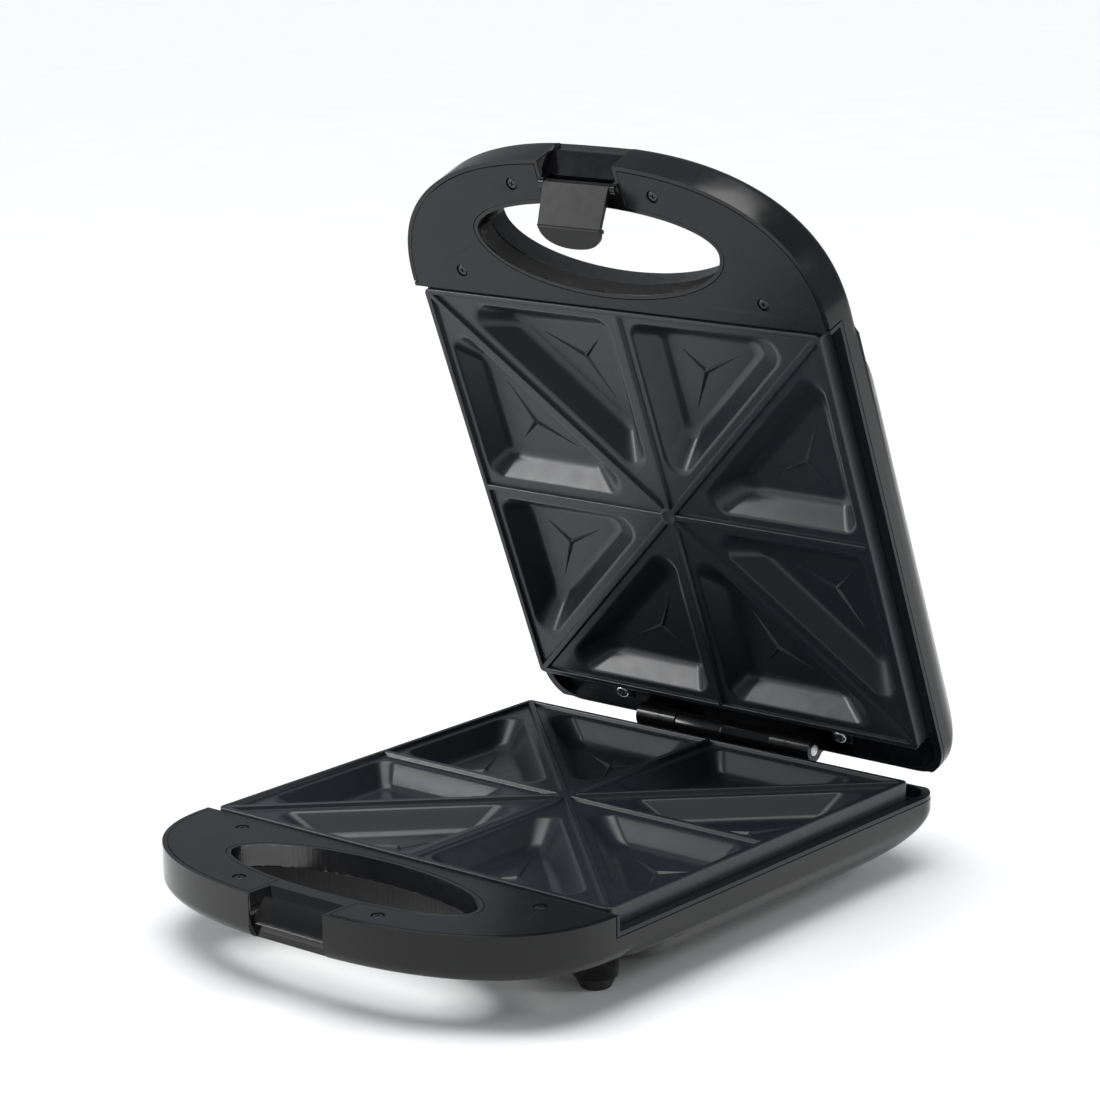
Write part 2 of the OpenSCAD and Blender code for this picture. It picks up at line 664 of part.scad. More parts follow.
// Three-way terminal block on its pad
module three_way_block() difference() {
    block(-block_a, block_a, block_y, block_y + block_l, block_floor, block_floor + block_h);
    for (x = [-lead_x, 0, lead_x]) {
        translate([x, block_y - 1, block_z]) rotate([-90, 0, 0]) cylinder(r = 2.2, h = block_l + 2);
        translate([x, block_y + block_l/2, block_z]) cylinder(r = 2, h = block_h);
    }
}
block_a = lead_x + 7;
block_l = 14;
block_h = 9.5;
block_y = element_end - block_l - 17;
block_floor = tray_z - tray_t - block_h - 0.75;
block_z = block_floor + 3.7;
module terminal_block() color("#e8e6df") base_frame() three_way_block();
module lid_terminal_block() color("#e8e6df") lid_side() three_way_block();

// Two leads from the terminal block to the element's blades
module leads() both_sides() translate([lead_x, 0, 0]) {
    bend_r = 5;
    turn_y = element_end + 4 - bend_r;
    from_y = block_y + block_l/2 + 1;
    translate([0, from_y, block_z]) rotate([-90, 0, 0]) cylinder(r = wire_r, h = turn_y - from_y);
    translate([0, turn_y, block_z + bend_r]) rotate([0, 90, 0]) rotate_extrude(angle = 90)
        translate([bend_r, 0]) circle(wire_r);
    translate([0, turn_y + bend_r, block_z + bend_r]) cylinder(r = wire_r,
        h = element_z - 0.4 - block_z - bend_r);
}
wire_r = 1.3;
module base_wiring() color("#c7c4bb") base_frame() leads();
module lid_wiring() color("#c7c4bb") lid_side() leads();

// Rubber bushing in the rear wall, with its bore left empty
module cord_bushing() color("#141416") base_frame() translate([cord_x, rear_y, cord_z]) rotate([-90, 0, 0])
    rotate_extrude() polygon([[cord_r, -wall - 2], [cord_r, 5], [cord_r + 1.1, 5], [cord_r + 1.9, 3.4],
        [cord_r + 2.1, 0.05], [cord_r + 1.55, 0.05], [cord_r + 1.55, -wall - 0.1], [cord_r + 2, -wall - 0.1],
        [cord_r + 2, -wall - 2]]);

// Lens of an indicator lamp in the lid's top, with a domed face and a flange inside
module lamp_lens(x) lid_side() translate([x, lamp_y, handle_floor]) mirror([0, 0, 1])
    rotate_extrude() polygon([[0, 1.2], [1.4, 1.0], [2.4, 0.5], [lamp_r - 0.1, -0.3], [lamp_r - 0.1, -wall],
        [lamp_r + 1, -wall], [lamp_r + 1, -wall - 1.2], [0, -wall - 1.2]]);
module power_lamp_lens() color("#b3261e") lamp_lens(-lamp_x);
module ready_lamp_lens() color("#2e8b4a") lamp_lens(lamp_x);

// Small glass lamp behind a lens
module lamp(x) lid_side() translate([x, lamp_y, handle_floor + wall + 1.2]) rotate_extrude()
    polygon([[0, 0], [1.4, 0], [2, 0.6], [2, 6.6], [1.2, 7.4], [0, 7.4]]);
module power_lamp() color("#e8b79a") lamp(-lamp_x);
module ready_lamp() color("#b8dcb6") lamp(lamp_x);

// ---- feet ----

module foot(x, y) color("#161618") base_frame() translate([x, y, belly_floor - foot_h]) rotate_extrude()
    polygon([[0, 0], [6.2, 0], [7.4, 0.4], [8.2, 1.4], [9.9, foot_h], [0, foot_h]]);

module front_left_foot() foot(-foot_x, -foot_front);
module front_right_foot() foot(foot_x, -foot_front);
module rear_left_foot() foot(-foot_rear_x, foot_rear);
module rear_right_foot() foot(foot_rear_x, foot_rear);

// ---- hinge ----

pin_in = hinge_tube_l/2 - 6;
pin_out = arm_x + arm_l;

module hinge_pin(side) color("#9a9da2") lid_frame() translate([side > 0 ? pin_in : -pin_out, hinge_y,
    hinge_z])
    rotate([0, 90, 0]) cylinder(r = hinge_pin_r, h = pin_out - pin_in);
module hinge_pin_left() hinge_pin(-1);
module hinge_pin_right() hinge_pin(1);

// Barrel over the pins' inner ends, with a raised ring round its middle
module hinge_tube() color("#26262a") lid_frame() translate([0, hinge_y, hinge_z]) rotate([0, 90, 0])
    rotate_extrude() {
        bore = hinge_pin_r + 0.02;
        half = hinge_tube_l/2;
        polygon([[bore, -half], [knuckle_r - 0.9, -half], [knuckle_r - 0.5, 0.4 - half], [knuckle_r - 0.5,
            -0.8],
            [knuckle_r, -0.5], [knuckle_r, 0.5], [knuckle_r - 0.5, 0.8], [knuckle_r - 0.5, half - 0.4],
            [knuckle_r - 0.9, half], [bore, half]]);
    }

// ---- latch ----

// The latch's own frame: pin along X at the origin, plate along +Y
module latch_frame() lid_frame() translate([0, latch_pin_y, latch_pin_z]) rotate([-latch_angle, 0, 0])
    children();

module latch_pin() color("#9a9da2") latch_frame() translate([0.1 - notch_a, 0, 0]) rotate([0, 90, 0])
    cylinder(r = latch_pin_r, h = 2*notch_a - 0.2);

module latch() color("#1b1b1e") latch_frame() difference() {
    union() {
        rotate([0, 90, 0]) translate([0, 0, -latch_a]) cylinder(r = 2.4, h = 2*latch_a);
        // plate, a little narrower at its bend
        translate([0, 0, -2.8]) linear_extrude(2)
            polygon([[-latch_a, 0], [latch_a, 0], [latch_a - 1, latch_l], [1 - latch_a, latch_l]]);
        // thumb tab
        translate([0, latch_l, -2.8]) rotate([42, 0, 0]) linear_extrude(2)
            polygon([for (i = [0:24]) let (a = 7.5*i) [(latch_a - 1)*cos(a),
                -0.6 + 12.6*power_term(sin(a), 2.6)]]);
        // hook rib
        block(2 - latch_a, latch_a - 2, latch_l - 1.6, latch_l + 0.6, -1.6, 2.6);
    }
    rotate([0, 90, 0]) translate([0, 0, -latch_a - 1]) cylinder(r = latch_pin_r + pin_play,
        h = 2*latch_a + 2);
}

base_shell();
base_cover();
base_plate();
base_heating_element();
base_element_terminals();
base_reflector();
base_plate_screws();
base_tray_screws();
base_cover_screws();
thermostat();
thermal_fuse();
terminal_block();
base_wiring();
cord_bushing();
front_left_foot();
front_right_foot();
rear_left_foot();
rear_right_foot();
lid_shell();
lid_cover();
lid_plate();
lid_heating_element();
lid_element_terminals();
lid_reflector();
lid_plate_screws();
lid_tray_screws();
lid_cover_screws();
lid_thermal_fuse();
lid_terminal_block();
lid_wiring();
power_lamp_lens();
ready_lamp_lens();
power_lamp();
ready_lamp();
hinge_pin_left();
hinge_pin_right();
hinge_tube();
latch_pin();
latch();
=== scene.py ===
"""Dresses the packed sandwich toaster with smooth casings, covers, plates and fittings, and their finishes.

Every piece is drawn in millimetres about a cooking plate: X to the right, Y to the back, Z up, and the
plate's face at z = 0. place then puts it in the model's own frame, in metres.
"""
import math

import bmesh
import bpy
import numpy as np
from bpy.props import FloatProperty, FloatVectorProperty, PointerProperty
from mathutils import Matrix, Vector


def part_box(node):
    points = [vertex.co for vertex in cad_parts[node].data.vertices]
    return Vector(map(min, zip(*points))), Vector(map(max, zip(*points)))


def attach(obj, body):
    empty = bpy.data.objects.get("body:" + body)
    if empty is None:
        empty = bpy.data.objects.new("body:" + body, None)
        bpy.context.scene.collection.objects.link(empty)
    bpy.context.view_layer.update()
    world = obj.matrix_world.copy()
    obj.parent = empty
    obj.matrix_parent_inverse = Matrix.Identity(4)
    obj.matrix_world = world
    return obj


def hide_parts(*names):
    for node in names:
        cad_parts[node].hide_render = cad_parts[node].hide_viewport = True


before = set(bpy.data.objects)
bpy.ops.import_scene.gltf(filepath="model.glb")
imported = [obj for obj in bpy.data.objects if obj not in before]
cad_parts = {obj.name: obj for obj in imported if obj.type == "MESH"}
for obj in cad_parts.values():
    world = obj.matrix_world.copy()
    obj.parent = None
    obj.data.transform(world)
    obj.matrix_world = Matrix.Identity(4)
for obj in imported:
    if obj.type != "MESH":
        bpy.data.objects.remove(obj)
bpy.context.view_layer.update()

bl_info = {
    "name": "Sandwich toaster",
    "version": (1, 0, 0),
    "blender": (4, 5, 0),
    "location": "3D View > Sidebar > Toaster",
    "description": "Builds the visible pieces of a sandwich toaster around its solid model",
    "category": "Object",
}

MM = 0.001


def node_span(node, axis):
    """Length of a CAD node along one axis, in millimetres."""
    low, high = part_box(node)
    return round((high[axis] - low[axis]) / MM, 3)


# ---- sizes and colours a user may change ----


class ToasterSizes(bpy.types.PropertyGroup):
    """Sizes of the toaster's pieces, in millimetres."""

    plate_w: FloatProperty(
        name="Plate width", description="Width of each cooking plate", default=node_span("base_plate", 0))
    plate_d: FloatProperty(
        name="Plate depth", description="Depth of each cooking plate, front to back", default=244.0)
    side_margin: FloatProperty(
        name="Side margin", description="Casing beyond the plate at each side", default=6.5)
    rear_margin: FloatProperty(
        name="Rear margin", description="Casing beyond the plate at the back", default=25.0)
    handle_reach: FloatProperty(
        name="Handle reach", description="Handle beyond the plate at the front", default=82.6)
    wall: FloatProperty(name="Wall", description="Wall thickness of the casings", default=2.2)
    divider_h: FloatProperty(
        name="Divider height", description="Height of the dividers above the flat land", default=2.0)
    pocket_d: FloatProperty(
        name="Pocket depth", description="Depth of a pocket below the land", default=12.0)
    edge_round: FloatProperty(
        name="Edge rounding", description="Rounding of moulded edges", default=0.45, min=0.1, max=1.0)


class ToasterColours(bpy.types.PropertyGroup):
    """Base colours of the toaster's finishes."""

    casing: FloatVectorProperty(
        name="Casing", description="Glossy moulded casing", subtype="COLOR", default=(0.004, 0.004, 0.0045))
    cover: FloatVectorProperty(
        name="Cover", description="Satin inner cover", subtype="COLOR", default=(0.006, 0.007, 0.009))
    plate: FloatVectorProperty(
        name="Plate", description="Non-stick coating", subtype="COLOR", default=(0.012, 0.0135, 0.018))
    latch: FloatVectorProperty(
        name="Latch", description="Moulded latch", subtype="COLOR", default=(0.006, 0.006, 0.0065))
    rubber: FloatVectorProperty(
        name="Rubber", description="Feet and cord bushing", subtype="COLOR", default=(0.012, 0.012, 0.012))
    floor: FloatVectorProperty(
        name="Floor", description="Floor and backdrop", subtype="COLOR", default=(0.9, 0.9, 0.9))


OPEN_ANGLE = 68.0
PLATE_GAP = 0.5
FACE_DROP = 1.5
HANDLE_D = 22.5
BELLY_D = 20.0
STRIP_DROP = 9.5
REAR_DROP = 12.0
COVER_T = 2.0
GROOVE = 0.5
SKIRT_D, PLATE_T, POCKET_IN, POCKET_R = 11.5, 2.5, 5.6, 9.0
HOLE_A, HOLE_REAR, HOLE_FRONT, HOLE_BACK_OFF = 75.7, 28.6, 20.9, 38.0
NOTCH_A, NOTCH_D = 23.5, 15.6
KNUCKLE_R, PIN_R = 6.5, 3.0
HINGE_TUBE_L, KNUCKLE_L, ARM_L = 62.0, 10.2, 15.0
LATCH_ANGLE, LATCH_L, LATCH_A, LATCH_PIN_R = 38.7, 21.5, 20.3, 1.2
CORD_X, CORD_R = -70.0, 3.6
FOOT_H = 6.0
FRONT_FEET, REAR_FEET = (98.0, -99.0), (80.0, 85.0)
FEET = {f"{end}_{side}": (sign * x, y) for end, (x, y) in (("front", FRONT_FEET), ("rear", REAR_FEET))
        for side, sign in (("left", -1), ("right", 1))}
HANDLE_POWER, HULL_POWER = 2.45, 3.2
EDGE_IN, EDGE_UP, EDGE_RINGS = 6.5, 6.0, 9
FRONT_POINTS = 97
HULL_SIDE, HULL_REAR, HULL_FRONT, HULL_ROUND = 36.0, 100.0, 34.0, 40.0
TAB_X, TAB_Z, TAB_T = 72.0, -8.0, 2.4
# head radius, head height and length under the head
COVER_SCREW, PLATE_SCREW = (3.0, 1.3, HANDLE_D - 8), (3.6, 2.2, 7.5)
LAMP_X = 14.0
REAR_R = 20.0


class Plan:
    """Places worked out from the sizes, in the plate-centred frame."""

    def __init__(self, sizes):
        self.s = sizes
        self.half_w = sizes.plate_w / 2 + sizes.side_margin
        self.edge_y = sizes.plate_d / 2
        self.rear_y = self.edge_y + sizes.rear_margin
        self.front_y = -self.edge_y - sizes.handle_reach
        self.curve_y = -self.edge_y + 2.5
        self.curve_reach = sizes.handle_reach + 2.5
        self.hole_y = -self.edge_y - HOLE_BACK_OFF
        self.step_y = -self.edge_y - 0.6 - COVER_T
        self.rear_strip_y = self.rear_y - 3.4
        self.handle_floor = -FACE_DROP - HANDLE_D
        self.wall_end = self.handle_floor + EDGE_UP
        self.belly_floor = self.handle_floor - BELLY_D
        self.belly_front = -self.edge_y + 4
        self.plate_h = -self.belly_floor + FOOT_H
        self.hinge_y = self.edge_y + 14.6
        self.hinge_z = PLATE_GAP / 2
        self.knuckle_x = HINGE_TUBE_L / 2 + 0.4
        self.arm_x = self.knuckle_x + KNUCKLE_L + 0.4
        self.notch_y = self.front_y + NOTCH_D
        self.latch_pin_y = self.notch_y - 2.7
        self.latch_pin_z = 1.6
        self.hook_edge_z = self.handle_floor + 8
        self.tab_y = self.edge_y + 6
        self.trough_z = -REAR_DROP - 3.4
        self.belly_top = self.trough_z - COVER_T + 0.4
        self.cord_z = self.trough_z - COVER_T - CORD_R - 2.6
        self.lamp_y = self.belly_front - 5.4
        self.screws = [(44.0, self.front_y + 15.6), (95.0, self.front_y + 69.6)]
        # the model's origin lies half way between the base's front and the raised lid's back
        self.origin_y = self.front_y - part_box("base_shell")[0][1] / MM


# ---- placing ----


def seat_base(p, plan):
    """Plate-centred points to the model's frame: (x, y - origin_y, z + plate_h)."""
    return p + np.array([0.0, -plan.origin_y, plan.plate_h])


def seat_lid_local(p, plan):
    """Closed-lid points turned by -OPEN_ANGLE about the hinge axis, then seated as the base is."""
    a = math.radians(-OPEN_ANGLE)
    y, z = p[:, 1] - plan.hinge_y, p[:, 2] - plan.hinge_z
    turned = np.stack([p[:, 0], plan.hinge_y + y * math.cos(a) - z * math.sin(a),
                       plan.hinge_z + y * math.sin(a) + z * math.cos(a)], 1)
    return seat_base(turned, plan)


def seat_lid(p, plan):
    """Casing points mirrored through the middle of the gap, z to PLATE_GAP - z, then placed on the lid."""
    q = p.copy()
    q[:, 2] = PLATE_GAP - q[:, 2]
    return seat_lid_local(q, plan)


def seat_latch(p, plan):
    """Latch points, pin at the origin and plate along +Y, turned by -LATCH_ANGLE and moved to the pin."""
    a = math.radians(-LATCH_ANGLE)
    y, z = p[:, 1], p[:, 2]
    q = np.stack([p[:, 0], plan.latch_pin_y + y * math.cos(a) - z * math.sin(a),
                  plan.latch_pin_z + y * math.sin(a) + z * math.cos(a)], 1)
    return seat_lid_local(q, plan)


SEATS = {"base": (seat_base, False), "lid": (seat_lid, True), "lid_local": (seat_lid_local, False),
         "latch": (seat_latch, False)}

# ---- surfaces ----


def front_curve(x, y, reach, power, n=FRONT_POINTS):
    """Half a superellipse: (x c^(2/p), y + reach s^(2/p)) for angles from 180 to 360 degrees."""
    a = np.radians(np.linspace(180, 360, n))
    c, s = np.cos(a), np.sin(a)
    c[n // 2] = 0.0
    s[[0, -1]] = 0.0
    return np.stack([(x - 0.1) * np.sign(c) * np.abs(c) ** (2 / power),
                     y + reach * np.sign(s) * np.abs(s) ** (2 / power)], 1)


def arc(x, y, r, start, end, n=13):
    """Points of a circular arc, (x + r cos a, y + r sin a)."""
    a = np.radians(np.linspace(start, end, n))
    return np.stack([x + r * np.cos(a), y + r * np.sin(a)], 1)


def back_curve(x, y0, y1, r):
    """Straight sides from y0 and rear corners of radius r."""
    corners = arc(x - r, y1 - r, r, 0, 90), arc(r - x, y1 - r, r, 90, 180)
    return np.concatenate([[[x, y0]], *corners, [[-x, y0]]])


def casing_front(plan, inset):
    return front_curve(plan.half_w - inset, plan.curve_y, plan.curve_reach - inset, HANDLE_POWER)


def casing_back(plan, inset):
    return back_curve(plan.half_w - inset, plan.curve_y + 8, plan.rear_y - inset, REAR_R - inset)


def casing_outline(plan, inset):
    """The casing's outline from above, drawn in by inset: superellipse in front, round corners behind."""
    return np.concatenate([casing_front(plan, inset), casing_back(plan, inset)])


def hole_outline(plan, grow, n=144):
    """The finger hole: half an ellipse in front of its widest line and a deeper half behind it."""
    a = np.linspace(0, 2 * np.pi, n, endpoint=False)
    reach = np.where(np.sin(a) >= 0, HOLE_REAR, HOLE_FRONT) + grow
    return np.stack([(HOLE_A + grow) * np.cos(a), plan.hole_y + reach * np.sin(a)], 1)


def at(points, z):
    return np.column_stack([points, np.full(len(points), float(z))])


def strip_quads(n, m, closed=False):
    """Quads between m rings of n points each, as an array (ring, column, corner): this ring, this ring's next
    point, the next ring's, and the next ring's own. closed joins the last ring to the first."""
    i = np.arange(n)
    j = (i + 1) % n
    k = np.arange(m if closed else m - 1)[:, None]
    here, there = k * n, (k + 1) % m * n
    return np.stack([here + i, here + j, there + j, there + i], -1)


def rings_solid(rings, split=()):
    """A closed solid through rings of equally many points, from the top ring down, each ring anticlockwise
    seen from above. Columns named in split are made of triangles, so that a twisted quad bends one way."""
    n, m = len(rings[0]), len(rings)
    verts = np.concatenate(rings)
    quads = strip_quads(n, m)[..., [0, 3, 2, 1]]
    keep = np.ones(n, bool)
    keep[list(split)] = False
    faces = quads[:, keep].reshape(-1, 4).tolist()
    for c in split:
        halves = ([0, 1, 3], [1, 2, 3]) if verts[c, 0] > 0 else ([0, 1, 2], [0, 2, 3])
        for half in halves:
            faces += quads[:, c][:, half].tolist()
    return verts, faces + [list(range(n)), list(range((m - 1) * n, m * n))[::-1]]


def prism(outline, z0, z1):
    """An outline, anticlockwise, raised from z0 to z1."""
    return rings_solid([at(outline, z1), at(outline, z0)])


def box(x0, x1, y0, y1, z0, z1):
    """A box between two corners."""
    return prism(np.array([[x0, y0], [x1, y0], [x1, y1], [x0, y1]], float), z0, z1)


def turned_round(points, steps=64):
    """A lathe form: profile points (radius, height) carried round the Z axis. The first and last lie on the
    axis or close on each other."""
    p = np.asarray(points, float)
    a = np.linspace(0, 2 * np.pi, steps, endpoint=False)
    grid = np.stack([p[:, None, 0] * np.cos(a), p[:, None, 0] * np.sin(a), p[:, None, 1] + 0 * a], -1)
    return grid.reshape(-1, 3), strip_quads(steps, len(p), p[0, 0] > 1e-6).reshape(-1, 4).tolist()


def along_x(profile, x0, x1):
    """A closed (y, z) profile, anticlockwise with +X towards the eye, carried from x0 to x1."""
    p = np.asarray(profile, float)
    n = len(p)
    verts = np.concatenate([np.column_stack([np.full(n, x), p]) for x in (x0, x1)])
    quads = strip_quads(n, 2)[0][:, ::-1]
    return verts, quads.tolist() + [list(range(n))[::-1], list(range(n, 2 * n))]


def rod_x(x0, x1, y, z, r, steps=64):
    """A cylinder along X."""
    a = np.linspace(0, 2 * np.pi, steps, endpoint=False)
    return along_x(np.stack([y + r * np.cos(a), z + r * np.sin(a)], 1), x0, x1)


def rod_y(x, z, y0, y1, r, steps=48):
    """A cylinder along Y."""
    a = np.linspace(0, 2 * np.pi, steps, endpoint=False)
    verts = np.concatenate([np.stack([x + r * np.cos(a), y + 0 * a, z + r * np.sin(a)], 1) for y in (y0, y1)])
    quads = strip_quads(steps, 2)[0][:, [0, 3, 2, 1]]
    return verts, quads.tolist() + [list(range(steps)), list(range(steps, 2 * steps))[::-1]]


def moved(part, x=0.0, y=0.0, z=0.0):
    return part[0] + np.array([x, y, z]), part[1]


def mirrored_x(part):
    """The part's mirror image in the plane x = 0, with its faces turned to point outwards again."""
    return part[0] * np.array([-1.0, 1.0, 1.0]), [f[::-1] for f in part[1]]


def four_ways(part):
    """The part and its mirror images in the planes x = 0 and y = 0, as one mesh."""
    half = [part, mirrored_x(part)]
    return joined(half + [(v * [1.0, -1.0, 1.0], [f[::-1] for f in faces]) for v, faces in half])


def joined(parts):
    """Several closed solids in one mesh."""
    verts, faces, start = [], [], 0
    for v, f in parts:
        verts.append(v)
        faces += [[i + start for i in face] for face in f]
        start += len(v)
    return np.concatenate(verts), faces


# ---- Blender side ----

SAME_SURFACE = 0.004


def raw_object(name, part):
    """A mesh object from a part in millimetres, not yet placed."""
    verts, faces = part
    mesh = bpy.data.meshes.new(name)
    mesh.from_pydata(verts.tolist(), [], faces)
    mesh.update()
    obj = bpy.data.objects.new(name, mesh)
    bpy.context.scene.collection.objects.link(obj)
    return obj


def merge_close(obj, distance=1e-3):
    """Merges doubles and points the faces of each closed solid outwards."""
    bm = bmesh.new()
    bm.from_mesh(obj.data)
    bmesh.ops.remove_doubles(bm, verts=bm.verts, dist=distance)
    bmesh.ops.recalc_face_normals(bm, faces=bm.faces)
    bm.to_mesh(obj.data)
    bm.free()
    obj.data.update()


def take_modifiers(obj):
    """Replaces the object's mesh by what its modifiers make of it."""
    made = bpy.data.meshes.new_from_object(obj.evaluated_get(bpy.context.evaluated_depsgraph_get()))
    obj.modifiers.clear()
    old, obj.data = obj.data, made
    made.name = obj.name
    bpy.data.meshes.remove(old)


def discard(obj):
    """Deletes an object and its mesh."""
    mesh = obj.data
    bpy.data.objects.remove(obj)
    bpy.data.meshes.remove(mesh)


def combine(obj, parts, operation):
    """Adds or cuts parts or objects, one after another, with an exact Boolean."""
    for part in parts:
        tool = part
        if isinstance(part, tuple):
            tool = raw_object("tool", part)
            merge_close(tool)
        step = obj.modifiers.new("combine", "BOOLEAN")
        step.operation, step.solver, step.object = operation, "EXACT", tool
        take_modifiers(obj)
        discard(tool)
    return obj


def trimmed(name, part, cuts):
    """An object made of a part, with other parts cut away."""
    return combine(raw_object(name, part), cuts, "DIFFERENCE")


def soften(obj, width, segments=3, angle=35.0):
    """Rounds the edges that are sharper than angle."""
    bevel = obj.modifiers.new("round", "BEVEL")
    bevel.width = width
    bevel.segments = segments
    bevel.limit_method = "ANGLE"
    bevel.angle_limit = math.radians(angle)
    bevel.use_clamp_overlap = True
    bevel.miter_outer = "MITER_ARC"
    take_modifiers(obj)


def shade(obj, angle=32.0, weighted=True):
    """Smooth shading, with edges sharper than angle kept crisp."""
    mesh = obj.data
    mesh.polygons.foreach_set("use_smooth", np.ones(len(mesh.polygons), bool))
    mesh.set_sharp_from_angle(angle=math.radians(angle))
    if weighted:
        weight = obj.modifiers.new("weight", "WEIGHTED_NORMAL")
        weight.keep_sharp = True
        weight.mode = "FACE_AREA"
        take_modifiers(obj)


def place(obj, seat, plan):
    """Moves the mesh from millimetres about a plate to its place in the model, and turns it outwards."""
    move, flips = SEATS[seat]
    mesh = obj.data
    co = np.zeros(len(mesh.vertices) * 3)
    mesh.vertices.foreach_get("co", co)
    co = move(co.reshape(-1, 3), plan) * MM
    mesh.vertices.foreach_set("co", co.ravel())
    if flips:
        mesh.flip_normals()
    mesh.update()


def settle(obj, seat, plan, angle=32.0, weighted=True, like=None):
    """Places a finished mesh and then shades it. Where its surface still lies on the uncut part like, it
    takes that part's even normals."""
    place(obj, seat, plan)
    shade(obj, angle, weighted)
    if like is not None:
        source = raw_object("even", like)
        merge_close(source)
        place(source, seat, plan)
        shade(source, angle, False)
        carry = obj.modifiers.new("carry", "DATA_TRANSFER")
        carry.object = source
        carry.use_loop_data = True
        carry.data_types_loops = {"CUSTOM_NORMAL"}
        carry.loop_mapping = "POLYINTERP_NEAREST"
        carry.use_max_distance = True
        carry.max_distance = SAME_SURFACE * MM
        take_modifiers(obj)
        discard(source)
    return obj


def settled(name, part, seat, plan, angle):
    """A round piece that needs no cuts: merged, placed and shaded."""
    obj = raw_object(name, part)
    merge_close(obj)
    return settle(obj, seat, plan, angle, False)


def coat(mesh, look):
    """Gives a mesh one finish."""
    mesh.materials.clear()
    mesh.materials.append(finish(look))


def dress(obj, body, look, node):
    """Gives a finished piece its finish and its body, and hides the CAD node that it stands for."""
    coat(obj.data, look)
    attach(obj, body)
    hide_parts(node)


# ---- finishes ----


class Finish:
    """A node material, with patterns on Object coordinates."""

    def __init__(self, name, colour, shader):
        self.mat = bpy.data.materials.new(name)
        self.mat.use_nodes = True
        self.tree = self.mat.node_tree
        self.shader = self.tree.nodes["Principled BSDF"]
        for socket, value in {"Base Color": (*colour, 1.0), **shader}.items():
            self.shader.inputs[socket].default_value = value
        self.coords = self.tree.nodes.new("ShaderNodeTexCoord").outputs["Object"]
        self.height = None

    def node(self, kind, feeds, values):
        """A new node, with some inputs linked and others set."""
        made = self.tree.nodes.new(kind)
        if kind == "ShaderNodeMix":
            made.data_type = "RGBA"
        for socket, value in values.items():
            made.inputs[socket].default_value = value
        for socket, source in feeds.items():
            self.tree.links.new(source, made.inputs[socket])
        return made.outputs

    def noise(self, size, detail, roughness=0.55, stretch=None):
        """Noise whose features are about size millimetres across."""
        source = self.coords
        if stretch:
            source = self.node("ShaderNodeMapping", {"Vector": source}, {"Scale": stretch})["Vector"]
        values = {"Scale": 1.0 / (size * MM), "Detail": detail, "Roughness": roughness}
        return self.node("ShaderNodeTexNoise", {"Vector": source}, values)["Fac"]

    def ranged(self, value, low, high, span=(0.3, 0.7)):
        """Carries a pattern from one span to another."""
        values = {"From Min": span[0], "From Max": span[1], "To Min": low, "To Max": high}
        return self.node("ShaderNodeMapRange", {"Value": value}, values)["Result"]

    def vary_roughness(self, size, detail, low, high, **noise):
        value = self.ranged(self.noise(size, detail, **noise), low, high)
        self.tree.links.new(value, self.shader.inputs["Roughness"])

    def vary_colour(self, size, detail, dark, light, **spread):
        value = self.ranged(self.noise(size, detail), 0.0, 1.0, **spread)
        mixed = self.node("ShaderNodeMix", {"Factor": value}, {"A": (*dark, 1.0), "B": (*light, 1.0)})
        self.tree.links.new(mixed["Result"], self.shader.inputs["Base Color"])

    def bump(self, size, detail, depth, strength, **noise):
        """Adds relief of depth millimetres on top of earlier relief."""
        feeds = {"Height": self.noise(size, detail, **noise)}
        if self.height is not None:
            feeds["Normal"] = self.height
        values = {"Strength": strength, "Distance": depth * MM}
        self.height = self.node("ShaderNodeBump", feeds, values)["Normal"]
        self.tree.links.new(self.height, self.shader.inputs["Normal"])


ALONG = {"stretch": (1, 0.05, 1)}
GLASSY = {"Coat Weight": 0.6, "Coat Roughness": 0.05}
METAL = {"Metallic": 1.0}
